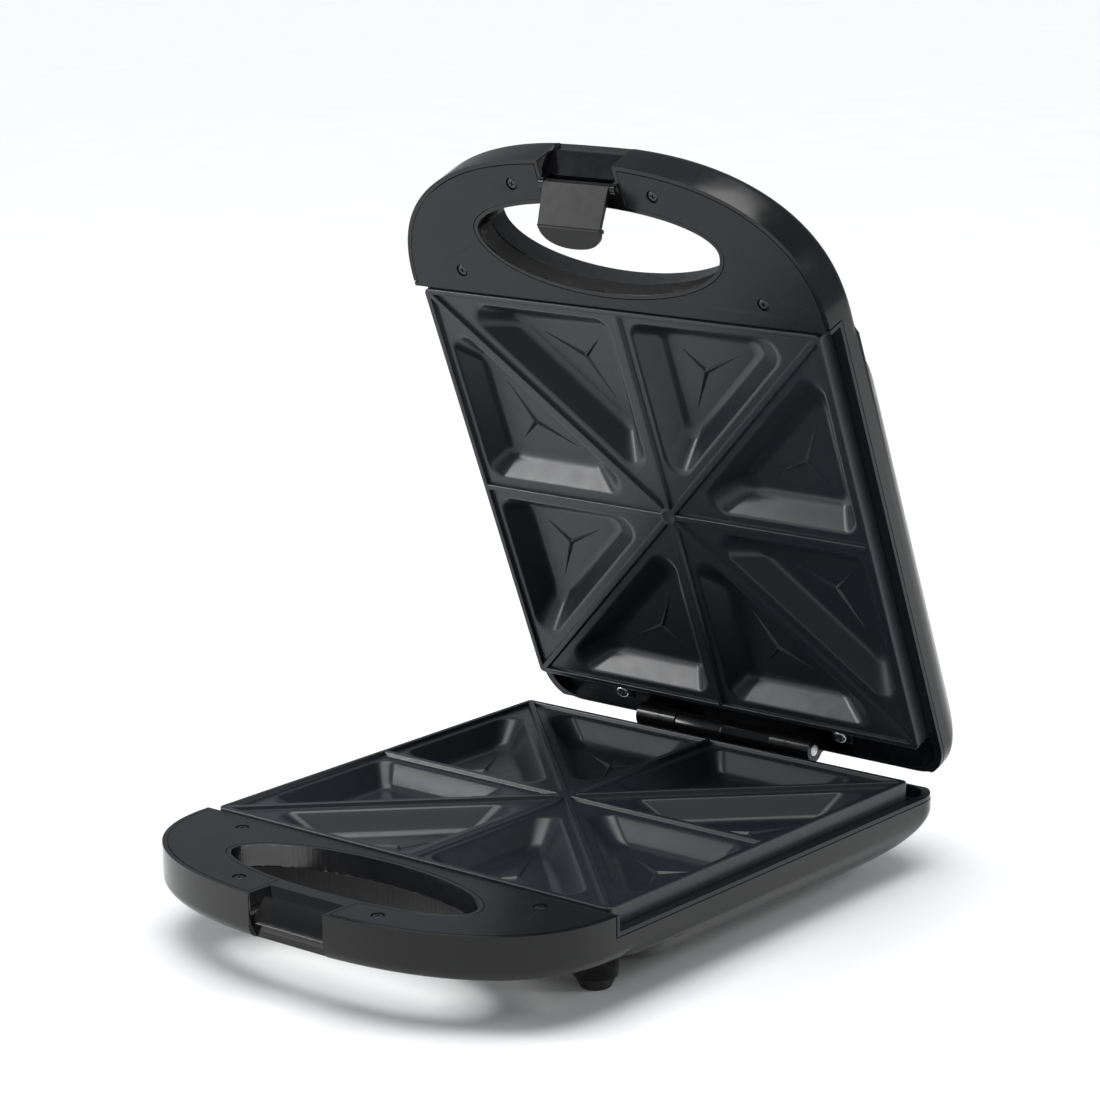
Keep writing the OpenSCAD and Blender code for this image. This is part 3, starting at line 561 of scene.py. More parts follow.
# Each finish's material name, its base colour (a setting's name or its own) and the shader's constants.
# rough gives feature size, detail, low and high. tint gives feature size, detail and either how much lighter
# the light places are or both colours, and speck the span of noise between them. Each relief gives feature
# size, detail, depth and strength.
FINISH_NOTES = {
    "casing": dict(
        name="glossy casing", colour="casing", shader={"Specular IOR Level": 0.3},
        rough=(9.0, 4.0, 0.13, 0.2), tint=(40.0, 3.0, 1.35),
        relief=((14.0, 2.0, 0.03, 0.5), (0.6, 2.0, 0.004, 0.4))),
    "cover": dict(
        name="satin cover", colour="cover", shader={"Specular IOR Level": 0.25},
        rough=(12.0, 4.0, 0.21, 0.28), tint=(60.0, 3.0, 1.2), relief=((0.35, 2.0, 0.008, 0.5),)),
    "plate": dict(
        name="non-stick coating", colour="plate",
        shader={"Specular IOR Level": 0.3, "Coat Weight": 0.2, "Coat Roughness": 0.16},
        rough=(7.0, 5.0, 0.29, 0.39), tint=(0.45, 1.0, 1.7), speck=(0.62, 0.72),
        relief=((0.7, 4.0, 0.025, 0.55, {"roughness": 0.65}), (18.0, 2.0, 0.05, 0.35))),
    "latch": dict(
        name="moulded latch", colour="latch", shader={"Specular IOR Level": 0.22},
        rough=(6.0, 4.0, 0.28, 0.4), relief=((0.5, 3.0, 0.01, 0.5),)),
    "rubber": dict(
        name="rubber", colour="rubber", rough=(3.0, 4.0, 0.5, 0.7), relief=((0.5, 3.0, 0.02, 0.6),)),
    "bright screw": dict(
        name="plated screw", colour=(0.72, 0.73, 0.75), shader=METAL, rough=(0.8, 3.0, 0.16, 0.34),
        relief=((0.3, 2.0, 0.006, 0.5),)),
    "dark screw": dict(
        name="blackened screw", colour=(0.05, 0.052, 0.058), shader={"Metallic": 0.9},
        rough=(0.8, 3.0, 0.24, 0.42), relief=((0.3, 2.0, 0.006, 0.5),)),
    "pin": dict(
        name="ground pin", colour=(0.55, 0.56, 0.58), shader=METAL,
        rough=(1.5, 3.0, 0.2, 0.4, {"stretch": (0.1, 1, 1)}),
        relief=((0.6, 2.0, 0.004, 0.4, {"stretch": (4, 1, 1)}),)),
    "element": dict(
        name="element tube", colour=(0.36, 0.35, 0.35), shader={"Metallic": 0.9},
        rough=(4.0, 4.0, 0.35, 0.55), tint=(25.0, 3.0, (0.3, 0.29, 0.29), (0.46, 0.43, 0.4)),
        relief=((0.8, 3.0, 0.01, 0.5),)),
    "tray": dict(
        name="mill-finish sheet", colour=(0.68, 0.69, 0.71), shader=METAL,
        rough=(2.0, 4.0, 0.24, 0.42, ALONG), relief=((0.8, 2.0, 0.006, 0.5, ALONG),)),
    "ceramic": dict(
        name="ceramic", colour=(0.78, 0.74, 0.66), rough=(2.0, 4.0, 0.42, 0.6),
        tint=(6.0, 3.0, (0.74, 0.7, 0.61), (0.82, 0.79, 0.72)), relief=((0.4, 3.0, 0.01, 0.5),)),
    "wire": dict(
        name="heat-proof sleeve", colour=(0.66, 0.64, 0.58), shader={"Roughness": 0.75},
        tint=(1.2, 2.0, (0.58, 0.56, 0.5), (0.74, 0.72, 0.67)), relief=((0.6, 2.0, 0.05, 0.8),)),
    "red lens": dict(
        name="red lens", colour=(0.62, 0.04, 0.03), shader=GLASSY, rough=(1.0, 2.0, 0.1, 0.18),
        tint=(3.0, 2.0, (0.4, 0.015, 0.012), (0.62, 0.04, 0.03))),
    "green lens": dict(
        name="green lens", colour=(0.05, 0.42, 0.11), shader=GLASSY, rough=(1.0, 2.0, 0.1, 0.18),
        tint=(3.0, 2.0, (0.02, 0.26, 0.06), (0.05, 0.42, 0.11))),
    "lamp": dict(
        name="lamp glass", colour=(0.85, 0.8, 0.74), rough=(2.0, 2.0, 0.08, 0.16),
        tint=(4.0, 2.0, (0.8, 0.72, 0.65), (0.9, 0.87, 0.83))),
    "floor": dict(name="pale floor", colour="floor", rough=(80.0, 3.0, 0.55, 0.65)),
}
FINISHES = {}


def make_finish(name, colour, shader=None, rough=None, tint=None, speck=(0.3, 0.7), relief=()):
    """A material from its notes."""
    if isinstance(colour, str):
        colour = tuple(getattr(bpy.context.scene.toaster_colours, colour))
    made = Finish(name, colour, shader or {})
    if rough:
        made.vary_roughness(*rough[:4], **(rough[4] if rough[4:] else {}))
    for notes in relief:
        made.bump(*notes[:4], **(notes[4] if notes[4:] else {}))
    if tint:
        size, detail, *ends = tint
        dark, light = ends if len(ends) == 2 else (colour, [v * ends[0] for v in colour])
        made.vary_colour(size, detail, dark, light, span=speck)
    return made.mat


def finish(name):
    """The named finish, made once."""
    if name not in FINISHES:
        FINISHES[name] = make_finish(**FINISH_NOTES[name])
    return FINISHES[name]


# ---- casings ----


def hull_slice(plan, a):
    """Insets of the hull at its sides, back and front, and its height, at angle a: the sides and the back
    draw in by HULL_SIDE and HULL_REAR times (1 - cos a) while it drops by the hull's depth times sin a. The
    front draws in by HULL_FRONT (1 - cos b), with BELLY_D sin b the drop below the handle's underside."""
    depth = plan.belly_top - plan.belly_floor
    below = (depth * math.sin(a) - plan.belly_top + plan.handle_floor) / BELLY_D
    b = math.asin(min(max(below, 0.0), 1.0))
    return (HULL_SIDE * (1 - math.cos(a)), HULL_REAR * (1 - math.cos(a)), HULL_FRONT * (1 - math.cos(b)),
            plan.belly_top - depth * math.sin(a))


def hull_back(plan, s, t, y):
    """The back of the hull's outline from y on, with the insets s and drawn in by t more."""
    return back_curve(plan.half_w - s[0] - t, y, plan.rear_y - s[1] - t, REAR_R - t + s[0] / 2)


def casing_form(plan, t, top):
    """The casing's form drawn in by t all round. Its rings run down the wall, round the handle's underside in
    a quarter ellipse (EDGE_IN across, EDGE_UP high), inwards to the belly's front, and down the hull to its
    floor."""
    start = math.asin((plan.belly_top - plan.handle_floor) / (plan.belly_top - plan.belly_floor))
    rings = [at(casing_outline(plan, t), top)]
    for k, a in enumerate(np.radians(np.linspace(0, 90, EDGE_RINGS))):
        inset, z = EDGE_IN * (1 - math.cos(a)), plan.wall_end - EDGE_UP * math.sin(a)
        s = hull_slice(plan, start * k / EDGE_RINGS)
        rings.append(np.concatenate([at(casing_front(plan, inset + t), z + t),
                                     at(hull_back(plan, s, t, plan.curve_y + 8), s[3] + t)]))
    for a in np.linspace(start, np.pi / 2, 17):
        s = hull_slice(plan, a)
        y = plan.belly_front + s[2] + t + HULL_ROUND
        outline = np.concatenate([front_curve(plan.half_w - s[0] - t, y, HULL_ROUND, HULL_POWER),
                                  hull_back(plan, s, t, y + 8)])
        rings.append(at(outline, s[3] + t))
    return rings_solid(rings, split=(FRONT_POINTS - 1, len(rings[0]) - 1))


def knuckles(plan, x0, x1):
    """Two hinge knuckles with their webs: a disc of radius KNUCKLE_R over a block 10 wide, from x0 to x1."""
    a = np.radians(np.linspace(-39.7, 219.7, 41))
    profile = np.concatenate([
        np.stack([plan.hinge_y + KNUCKLE_R * np.cos(a), plan.hinge_z + KNUCKLE_R * np.sin(a)], 1),
        [[plan.hinge_y - 5, plan.trough_z - 12], [plan.hinge_y + 5, plan.trough_z - 12]]])
    one = along_x(profile, x0, x1)
    return [one, mirrored_x(one)]


def notch_cuts(plan, lid):
    """What the latch notch takes away: a slanting pocket in the lid, and in the base a ramp for the latch to
    ride down and an undercut for its hook."""
    front, below = plan.front_y, plan.handle_floor - 5
    if lid:
        lip = front + 2.4
        profiles = [[(plan.notch_y, 5), (front - 5, 5), (front - 5, -30), (lip, -30), (lip, -15.5),
                     (plan.notch_y - 5.4, -5.2), (plan.notch_y, -5.2)]]
    else:
        lip, hook = front + 2.1, plan.hook_edge_z
        profiles = [[(plan.notch_y, 5), (front - 5, 5), (front - 5, hook), (lip, hook),
                     (plan.notch_y, -FACE_DROP)],
                    [(front - 5, hook + 0.01), (front - 5, below), (front + 6.6, below),
                     (front + 6, below + 4), (front + 4.5, hook - 2), (lip, hook + 0.01)]]
    return [along_x(profile, -NOTCH_A, NOTCH_A) for profile in profiles]


def latch_lugs(plan):
    """The two lugs beside the lid's notch that carry the latch pin."""
    y, z = plan.latch_pin_y, PLATE_GAP - plan.latch_pin_z
    edge = plan.notch_y + 0.2
    profile = np.concatenate([arc(y, z, 2.6, 0, 180, 17), [[y - 2.6, -7], [edge, -7], [edge, z]]])
    one = along_x(profile, LATCH_A + 0.5, NOTCH_A + 0.3)
    return [one, mirrored_x(one)]


def casing(name, plan, lid):
    """One casing: the hollow form, its finger hole, latch notch, rims, hinge knuckles and bores."""
    wall, rear = plan.s.wall, plan.rear_y
    obj = raw_object(name, casing_form(plan, 0.0, -FACE_DROP))
    if not lid:
        boss = turned_round([(0, 0), (10.6, 0), (12, 16), (0, 16)])
        combine(obj, [moved(boss, x, y, plan.belly_floor) for x, y in FEET.values()], "UNION")
        combine(obj, [rod_y(CORD_X, plan.cord_z, rear - 18, rear, CORD_R + 3.4)], "UNION")
    combine(obj, [casing_form(plan, wall, 3.0)], "DIFFERENCE")
    keep, skin = plan.handle_floor + wall / 2, plan.front_y + 1.6
    block = [(skin, -FACE_DROP), (skin, plan.wall_end - 2), (plan.front_y + 4, keep), (plan.hole_y, keep),
             (plan.hole_y, -FACE_DROP)]
    sleeve = prism(hole_outline(plan, wall), keep, -FACE_DROP)
    combine(obj, [sleeve, along_x(block, -NOTCH_A - 2, NOTCH_A + 2)], "UNION")
    w = plan.half_w + 5
    rims = ((plan.step_y - GROOVE - 0.3, STRIP_DROP), (plan.rear_strip_y - GROOVE, REAR_DROP))
    cuts = [prism(hole_outline(plan, 0.0), plan.handle_floor - 5, 5)]
    cuts += [box(-w, w, y, rear + 5, -drop - COVER_T - GROOVE, 5) for y, drop in rims]
    cuts += notch_cuts(plan, lid)
    if not lid:
        cuts += [rod_y(CORD_X, plan.cord_z, rear - wall - 30, rear + 5, CORD_R + 1.6),
                 rod_y(CORD_X, plan.cord_z, rear - wall - 20, rear - wall, CORD_R + 2.3)]
    combine(obj, cuts, "DIFFERENCE")
    x0, length = (plan.arm_x, ARM_L) if lid else (plan.knuckle_x, KNUCKLE_L)
    combine(obj, knuckles(plan, x0, x0 + length) + (latch_lugs(plan) if lid else []), "UNION")
    reach = x0 + length + 3
    bores = [rod_x(-reach, reach, plan.hinge_y, plan.hinge_z, PIN_R + 0.02)]
    if lid:
        bores.append(rod_x(-NOTCH_A + 0.05, NOTCH_A - 0.05, plan.latch_pin_y, PLATE_GAP - plan.latch_pin_z,
                           LATCH_PIN_R + 0.02, 32))
        hole = turned_round([(0, -6), (3.0, -6), (3.0, 6), (0, 6)], 48)
        bores += [moved(hole, x, plan.lamp_y, plan.handle_floor) for x in (-LAMP_X, LAMP_X)]
    combine(obj, bores, "DIFFERENCE")
    merge_close(obj, 5e-3)
    soften(obj, plan.s.edge_round, 3)
    return settle(obj, "lid" if lid else "base", plan, like=casing_form(plan, 0.0, -FACE_DROP))


# ---- inner covers ----


def ahead(y):
    """A block that holds everything in front of y."""
    return box(-300, 300, -400, y, -60, 60)


def behind(y):
    """A block that holds everything behind y."""
    return box(-300, 300, y, 400, -60, 60)


def cover(name, plan, lid):
    """The inner cover: handle face, step, side strips, rear strip and the trough behind the plate."""
    top, edge, flush = -FACE_DROP, plan.s.wall + GROOVE, 0.2
    step_y, strip_y, trough_z = plan.step_y, plan.rear_strip_y, plan.trough_z

    def sheet(part, inset, low, high, *cuts):
        return trimmed(part, prism(casing_outline(plan, inset), low, high), cuts)

    obj = sheet(name, edge, top - COVER_T, top, behind(step_y + COVER_T))
    strips = sheet("strips", flush, -STRIP_DROP - COVER_T, -STRIP_DROP, ahead(step_y), behind(strip_y))
    rear = sheet("rear", flush, -REAR_DROP - COVER_T, -REAR_DROP, ahead(strip_y - 1.2))
    px, py = plan.s.plate_w / 2 + 0.6, plan.edge_y + 0.6
    trough = sheet("trough", 3.0, trough_z - COVER_T, -STRIP_DROP - 1, ahead(py), behind(strip_y))
    hollow = sheet("hollow", 4.6, trough_z, 5, ahead(plan.edge_y + 2.2), behind(strip_y - 1.6))
    w = plan.half_w - flush
    step = box(-w, w, step_y, step_y + COVER_T, -STRIP_DROP - COVER_T, top)
    combine(obj, [step, strips, rear, trough], "UNION")
    combine(obj, [hollow], "DIFFERENCE")
    x0, length = (plan.arm_x, ARM_L) if lid else (plan.knuckle_x, KNUCKLE_L)
    notch = NOTCH_A + 2 + GROOVE
    slot = box(x0 - 0.4, x0 + length + 0.4, plan.hinge_y - 5.4, plan.hinge_y + 5.4, trough_z - 5,
               trough_z + 1)
    recess = turned_round([(0, -9), (1.8, -9), (1.8, 0.5), (3.4, 0.5), (3.4, 9), (0, 9)], 48)
    cuts = [box(-px, px, -py, py, -60, 5), prism(hole_outline(plan, edge), -30, 5),
            box(-notch, notch, plan.front_y - 5, plan.hole_y, -60, 5), slot, mirrored_x(slot)]
    cuts += [moved(recess, sx * x, y, top - COVER_T) for x, y in plan.screws for sx in (-1, 1)]
    combine(obj, cuts, "DIFFERENCE")
    rise = TAB_Z - trough_z
    post = turned_round([(0, 0), (3.6, 0), (3.6, rise), (0, rise)], 48)
    combine(obj, [moved(post, x, plan.tab_y, trough_z - 0.01) for x in (-TAB_X, TAB_X)], "UNION")
    merge_close(obj, 5e-3)
    soften(obj, 0.25, 2)
    return settle(obj, "lid" if lid else "base", plan)


# ---- cooking plates ----


def offset_corners(corners, insets):
    """Corners of a triangle whose sides are drawn in by insets: each corner solves the two lines beside it,
    n . p = n . a + inset, with n the side's inward normal. Side i runs from corner i to corner i + 1."""
    a = corners
    b = np.roll(corners, -1, 0)
    d = (b - a) / np.linalg.norm(b - a, axis=1)[:, None]
    n = np.stack([-d[:, 1], d[:, 0]], 1)
    c = (n * a).sum(1) + insets
    before = np.array([2, 0, 1])
    return np.stack([np.linalg.solve(np.stack([n[before[i]], n[i]]), [c[before[i]], c[i]]) for i in range(3)])


def rounded_triangle(corners, insets, r, n=9):
    """The drawn-in triangle with corners of radius r: arcs about the corners drawn in by r more."""
    mid = offset_corners(corners, np.asarray(insets, float) + r)
    side = np.roll(corners, -1, 0) - corners
    out = np.degrees(np.arctan2(-side[:, 0], side[:, 1]))
    rings = []
    for i in range(3):
        start = out[i - 1]
        turn = (out[i] - start) % 360
        rings.append(arc(mid[i, 0], mid[i, 1], r, start, start + turn, n))
    return np.concatenate(rings)


def plate_rows(plan):
    """(inset from dividers, inset from the plate's edge, corner radius, height) of each ring of an octant.
    The pocket's section is an arc of radius rim, a straight run at steep, and an arc of radius foot."""
    land = -plan.s.divider_h
    floor = land - plan.s.pocket_d
    rows = [(0.0, 2.0, 0, 0.0), (1.0, 2.6, 0, 0.0), (1.25, 2.8, 0, -0.06), (1.45, 2.95, 0, -0.24),
            (1.58, 3.05, 0, -0.5), (2.1, 3.4, 0, land + 0.3), (2.25, 3.5, 0, land + 0.08),
            (2.5, 3.7, 0, land)]
    begin, rim, foot, steep = POCKET_IN, 2.6, 7.0, math.radians(52)
    c, s = math.cos(steep), math.sin(steep)
    run = (plan.s.pocket_d - (rim + foot) * (1 - c)) / s
    lip = [(begin + rim * math.sin(v), land - rim * (1 - math.cos(v))) for v in np.linspace(0, steep, 6)]
    x, z = lip[-1]
    end = begin + (rim + foot) * s + run * c
    wall = [(x + run * c * t, z - run * s * t) for t in (0.33, 0.67)]
    bend = [(end - foot * math.sin(v), floor + foot * (1 - math.cos(v))) for v in np.linspace(steep, 0, 8)]
    return rows + [(inset, inset, POCKET_R - 0.32 * (inset - begin), z) for inset, z in lip + wall + bend]


def octant(plan, corners, edge_side, under):
    """A plate's face between two dividers and the edge: rings of rounded triangles that step down from the
    dividers to the land, round the pocket's rim and down its wall to the floor. With under, the same sheet
    PLATE_T lower, facing down."""
    rings = []
    for ridge, edge, r, z in plate_rows(plan):
        insets = np.full(3, ridge)
        insets[edge_side] = edge
        height = min(z, -plan.s.divider_h) - PLATE_T if under else z
        rings.append(at(rounded_triangle(corners, insets, r), height))
    n, m = len(rings[0]), len(rings)
    faces = strip_quads(n, m).reshape(-1, 4).tolist() + [list(range((m - 1) * n, m * n))]
    return np.concatenate(rings), [f[::-1] for f in faces] if under else faces


def crease(plan, corners):
    """The Y on a pocket's floor: three roof-shaped arms from the middle, falling towards the corners."""
    floor = -plan.s.divider_h - plan.s.pocket_d
    ends = offset_corners(corners, np.full(3, 22.0))
    mid = ends.mean(0)
    arms = mid + (ends - mid) * 0.74
    angle = np.arctan2(*(arms - mid).T[::-1])
    step = (np.roll(angle, -1) - angle) % (2 * np.pi)
    half = angle + step / 2
    between = mid + 1.5 * np.stack([np.cos(half), np.sin(half)], 1)
    ring = np.empty((6, 2))
    ring[0::2], ring[1::2] = arms, between
    low = floor - 0.4
    verts = np.concatenate([at(ring, low), at(ring, floor + 0.02), [[*mid, floor + 1.25]]])
    verts[6:12:2, 2] = floor + 0.16
    faces = [[i, (i + 1) % 6, 6 + (i + 1) % 6, 6 + i] for i in range(6)]
    faces += [[6 + i, 6 + (i + 1) % 6, 12] for i in range(6)] + [[5, 4, 3, 2, 1, 0]]
    return verts, faces


def rim_sweep(plan):
    """The plate's bead and skirt: a profile of (inset, height) carried round a rectangle whose corners have a
    radius of 3."""
    land = -plan.s.divider_h
    a = np.radians(np.linspace(0, 90, 6))
    outer = [(0.7 - 0.7 * math.sin(v), -0.7 + 0.7 * math.cos(v)) for v in a]
    profile = outer + [
        (0.0, -SKIRT_D), (PLATE_T, -SKIRT_D), (PLATE_T, land - 2.4), (3.9, land - 1.5), (3.9, land - 0.05),
        (3.55, land), (3.3, land + 0.2), (2.9, -0.45), (2.75, -0.2), (2.55, -0.05), (2.3, 0.0)]
    w, d = plan.s.plate_w / 2, plan.edge_y
    rings = []
    for inset, z in profile:
        r = max(3.0 - inset, 0.02)
        x, y = w - inset - r, d - inset - r
        spots = ((x, y), (-x, y), (-x, -y), (x, -y))
        ring = [arc(*spot, r, 90 * k, 90 * (k + 1), 9) for k, spot in enumerate(spots)]
        rings.append(at(np.concatenate(ring), z))
    quads = strip_quads(len(rings[0]), len(rings), True)[..., [0, 3, 2, 1]]
    return np.concatenate(rings), quads.reshape(-1, 4).tolist()


def plate(name, plan, seat):
    """A cooking plate: eight octants, top and underside, bead and skirt, hub, creases and two tabs."""
    middle, corner = [0.0, 0.0], [plan.s.plate_w / 2, plan.edge_y]
    side = np.array([middle, [corner[0], 0.0], corner])
    end = np.array([middle, corner, [0.0, corner[1]]])
    sheet, rim, creases = [], [], []
    low = -plan.s.divider_h - PLATE_T
    for corners in (side, end):
        sheet += [octant(plan, corners, 1, under) for under in (False, True)]
        creases.append(crease(plan, corners))
        a, b = rounded_triangle(corners, np.array([0.0, 2.0, 0.0]), 0)[[9, 18]]
        rim.append((np.array([[*a, 0.0], [*b, 0.0], [*b, low], [*a, low]]), [[3, 2, 1, 0]]))
    obj = raw_object(name, four_ways(joined(sheet + rim)))
    merge_close(obj, 2e-3)
    hub = turned_round([(0, -2.3), (5.6, -2.3), (5.6, -1.9), (5.2, -0.3), (4.95, 0.02), (4.6, 0.14),
                        (3.4, 0.14), (3.0, 0.04), (0, 0.0)])
    tab = rounded_box(12, 11, TAB_T, 0.5)
    tabs = [moved(tab, x, plan.edge_y + 5.0, TAB_Z + TAB_T / 2) for x in (-TAB_X, TAB_X)]
    extra = raw_object("extra", joined([rim_sweep(plan), hub, *tabs, four_ways(joined(creases))]))
    merge_close(extra, 1e-4)
    return settle(join_objects(obj, extra), seat, plan, 28.0)


def rounded_box(x, y, z, r, n=4):
    """A box with rounded edges: a cube-sphere grid of radius r pushed out to the box's corners."""
    t = np.tan(np.linspace(-np.pi / 4, np.pi / 4, 2 * n))
    u, v = np.meshgrid(t, t, indexing="ij")
    half = np.array([x, y, z]) / 2 - r
    verts, faces, start = [], [], 0
    m = 2 * n
    i, j = np.meshgrid(np.arange(m - 1), np.arange(m - 1), indexing="ij")
    quad = np.stack([i * m + j, (i + 1) * m + j, (i + 1) * m + j + 1, i * m + j + 1], -1).reshape(-1, 4)
    for axis in range(3):
        for sign in (1.0, -1.0):
            p = np.empty((m * m, 3))
            p[:, axis] = sign
            p[:, (axis + 1) % 3] = u.ravel()
            p[:, (axis + 2) % 3] = v.ravel()
            ball = p / np.linalg.norm(p, axis=1)[:, None] * r
            verts.append(ball + np.sign(p) * half)
            faces += (quad + start)[:, ::int(sign)].tolist()
            start += m * m
    return np.concatenate(verts), faces


def join_objects(obj, other):
    """Puts the second object's mesh into the first's, as separate shells."""
    bm = bmesh.new()
    bm.from_mesh(obj.data)
    bm.from_mesh(other.data)
    bm.to_mesh(obj.data)
    bm.free()
    obj.data.update()
    discard(other)
    return obj


# ---- latch, hinge, screws, feet and fittings ----


def latch(name, plan):
    """The latch: a barrel on the pin, a plate, a hook rib behind its lower edge and a bent thumb tab."""
    barrel = rod_x(-LATCH_A, LATCH_A, 0, 0, 2.4, 64)
    top, low = LATCH_A, LATCH_A - 1.0
    flat = np.array([[-top, 0.0], [top, 0.0], [low, LATCH_L + 0.4], [-low, LATCH_L + 0.4]])
    obj = raw_object(name, prism(flat, -2.8, -0.8))
    a = np.linspace(0, np.pi, 49)
    c, s = np.cos(a), np.sin(a)
    s[[0, -1]] = 0
    thumb = np.stack([low * np.sign(c) * np.abs(c) ** 0.9, -0.6 + 12.6 * s ** (2 / 2.6)], 1)
    v, f = prism(thumb, -2.8, -0.8)
    t = math.radians(42.0)
    y, z = v[:, 1], v[:, 2] + 2.8
    tab = (np.stack([v[:, 0], LATCH_L + y * math.cos(t) - z * math.sin(t),
                     -2.8 + y * math.sin(t) + z * math.cos(t)], 1), f)
    rib = along_x([(LATCH_L - 1.6, -1.6), (LATCH_L + 0.6, -1.6), (LATCH_L + 0.6, 1.9), (LATCH_L + 0.1, 2.6),
                   (LATCH_L - 1.0, 2.6), (LATCH_L - 1.6, 1.6)], 2 - LATCH_A, LATCH_A - 2)
    combine(obj, [barrel, tab, rib], "UNION")
    combine(obj, [rod_x(-LATCH_A - 2, LATCH_A + 2, 0, 0, LATCH_PIN_R + 0.05, 32)], "DIFFERENCE")
    merge_close(obj, 5e-3)
    soften(obj, 0.35, 3, 30)
    return settle(obj, "latch", plan)


def barrel(name, plan):
    """The hinge tube between the knuckles, with chamfered ends and a raised ring round its middle."""
    h, r = HINGE_TUBE_L / 2, KNUCKLE_R
    a = np.radians(np.linspace(0, 90, 5))
    end = [(r - 0.9 + 0.4 * math.sin(v), h - 0.4 + 0.4 * math.cos(v)) for v in a]
    ring = [(r - 0.5, 0.95), (r - 0.42, 0.8), (r - 0.08, 0.6), (r, 0.45)]
    profile = [(PIN_R + 0.02, -h)] + [(x, -y) for x, y in end] + [(x, -y) for x, y in ring]
    profile += ring[::-1] + end[::-1] + [(PIN_R + 0.02, h)]
    v, f = turned_round(profile, 96)
    v = np.stack([v[:, 2], v[:, 0], v[:, 1]], 1) + np.array([0.0, plan.hinge_y, plan.hinge_z])
    return settled(name, (v, f), "lid_local", plan, 30)


def screw_head(head_r, head_h, length, shank=1.5):
    """A pan-head screw: a domed head on a plain shank, turned round Z, seated at z = 0."""
    a = np.linspace(0, np.pi / 2, 9)
    dome = [(head_r * 0.62 + head_r * 0.38 * math.sin(v), head_h * 0.3 + head_h * 0.7 * math.cos(v))
            for v in a]
    profile = [(0, head_h)] + dome + [(head_r * 0.985, 0.0), (shank, 0.0), (shank, -length + 0.8),
                                      (shank - 0.6, -length), (0, -length)]
    v, f = turned_round(profile, 48)
    return v, [q[::-1] for q in f]


def screws(name, plan, seat, spots, seat_z, size):
    """Screws with crossed recesses: each head has two tapered slots cut into its dome."""
    head_r, head_h, _ = size
    obj = raw_object(name, joined([moved(screw_head(*size), x, y, seat_z) for x, y in spots]))
    merge_close(obj)
    cuts = []
    for x, y in spots:
        for turn in (0.35, 0.35 + math.pi / 2):
            v, f = rings_solid([at(np.array([[-r, -b], [r, -b], [r, b], [-r, b]]), z) for r, b, z in
                                ((head_r * 0.56, 0.36, head_h + 0.3), (head_r * 0.3, 0.2, head_h * 0.25))])
            c, s = math.cos(turn), math.sin(turn)
            v = np.stack([v[:, 0] * c - v[:, 1] * s, v[:, 0] * s + v[:, 1] * c, v[:, 2]], 1)
            cuts.append(moved((v, f), x, y, seat_z))
    combine(obj, cuts, "DIFFERENCE")
    return settle(obj, seat, plan, 30, False)


def foot(name, plan, x, y):
    """A rubber foot: a tapered button with a rounded rim and a shallow dish in its sole."""
    a = np.radians(np.linspace(0, 90, 7))
    rim = [(6.4 + 1.4 * math.sin(v), 1.4 - 1.4 * math.cos(v)) for v in a]
    side = [(8.1, 1.9), (9.7, FOOT_H - 0.5), (9.85, FOOT_H - 0.15), (9.85, FOOT_H), (0, FOOT_H)]
    profile = [(0, 0.5), (2.6, 0.45), (4.2, 0.15), (5.0, 0.0)] + rim + side
    return settled(name, moved(turned_round(profile), x, y, plan.belly_floor - FOOT_H), "base", plan, 40)


def bushing(name, plan):
    """The cord bushing: a ribbed rubber ring, turned about the cord's axis."""
    w, r = plan.s.wall, CORD_R
    profile = [(r, -w - 2), (r, 4.7), (r + 0.2, 5), (r + 0.9, 5), (r + 1.2, 4.7), (r + 1.7, 3.4),
               (r + 1.7, 2.6), (r + 2.0, 2.4), (r + 2.1, 0.9), (r + 2.1, 0.05), (r + 1.55, 0.05),
               (r + 1.55, -w - 0.1), (r + 2, -w - 0.1), (r + 2, -w - 1.7), (r + 1.7, -w - 2)]
    v, f = turned_round(profile)
    v = np.stack([v[:, 0] + CORD_X, v[:, 2] + plan.rear_y, -v[:, 1] + plan.cord_z], 1)
    return settled(name, (v, f), "base", plan, 35)


def lens(name, plan, x):
    """An indicator lens: a low dome on a short barrel, with a flange inside the casing."""
    w, r = plan.s.wall, 2.9
    a = np.linspace(0, np.pi / 2, 9)
    dome = [(r * math.sin(v), -0.1 + 1.1 * math.cos(v)) for v in a]
    profile = dome + [(r, -w), (r + 1.1, -w), (r + 1.1, -w - 1.2), (0, -w - 1.2)]
    v, f = turned_round(profile, 48)
    v = v * np.array([1.0, 1.0, -1.0]) + np.array([x, plan.lamp_y, plan.handle_floor])
    return settled(name, (v, f), "lid", plan, 35)


# ---- operators ----


def plan_of(context):
    return Plan(context.scene.toaster_sizes)


class TOASTER_OT_casings(bpy.types.Operator):
    """Build the two glossy casings with their handles and hinge knuckles"""

    bl_idname = "toaster.casings"
    bl_label = "Casings"

    def execute(self, context):
        plan = plan_of(context)
        for body in ("base", "lid"):
            obj = casing(f"{body}_casing", plan, body == "lid")
            dress(obj, body, "casing", f"{body}_shell")
        return {"FINISHED"}


class TOASTER_OT_covers(bpy.types.Operator):
    """Build the two satin inner covers"""

    bl_idname = "toaster.covers"
    bl_label = "Inner covers"

    def execute(self, context):
        plan = plan_of(context)
        for body in ("base", "lid"):
            obj = cover(f"{body}_inner_cover", plan, body == "lid")
            dress(obj, body, "cover", f"{body}_cover")
        return {"FINISHED"}


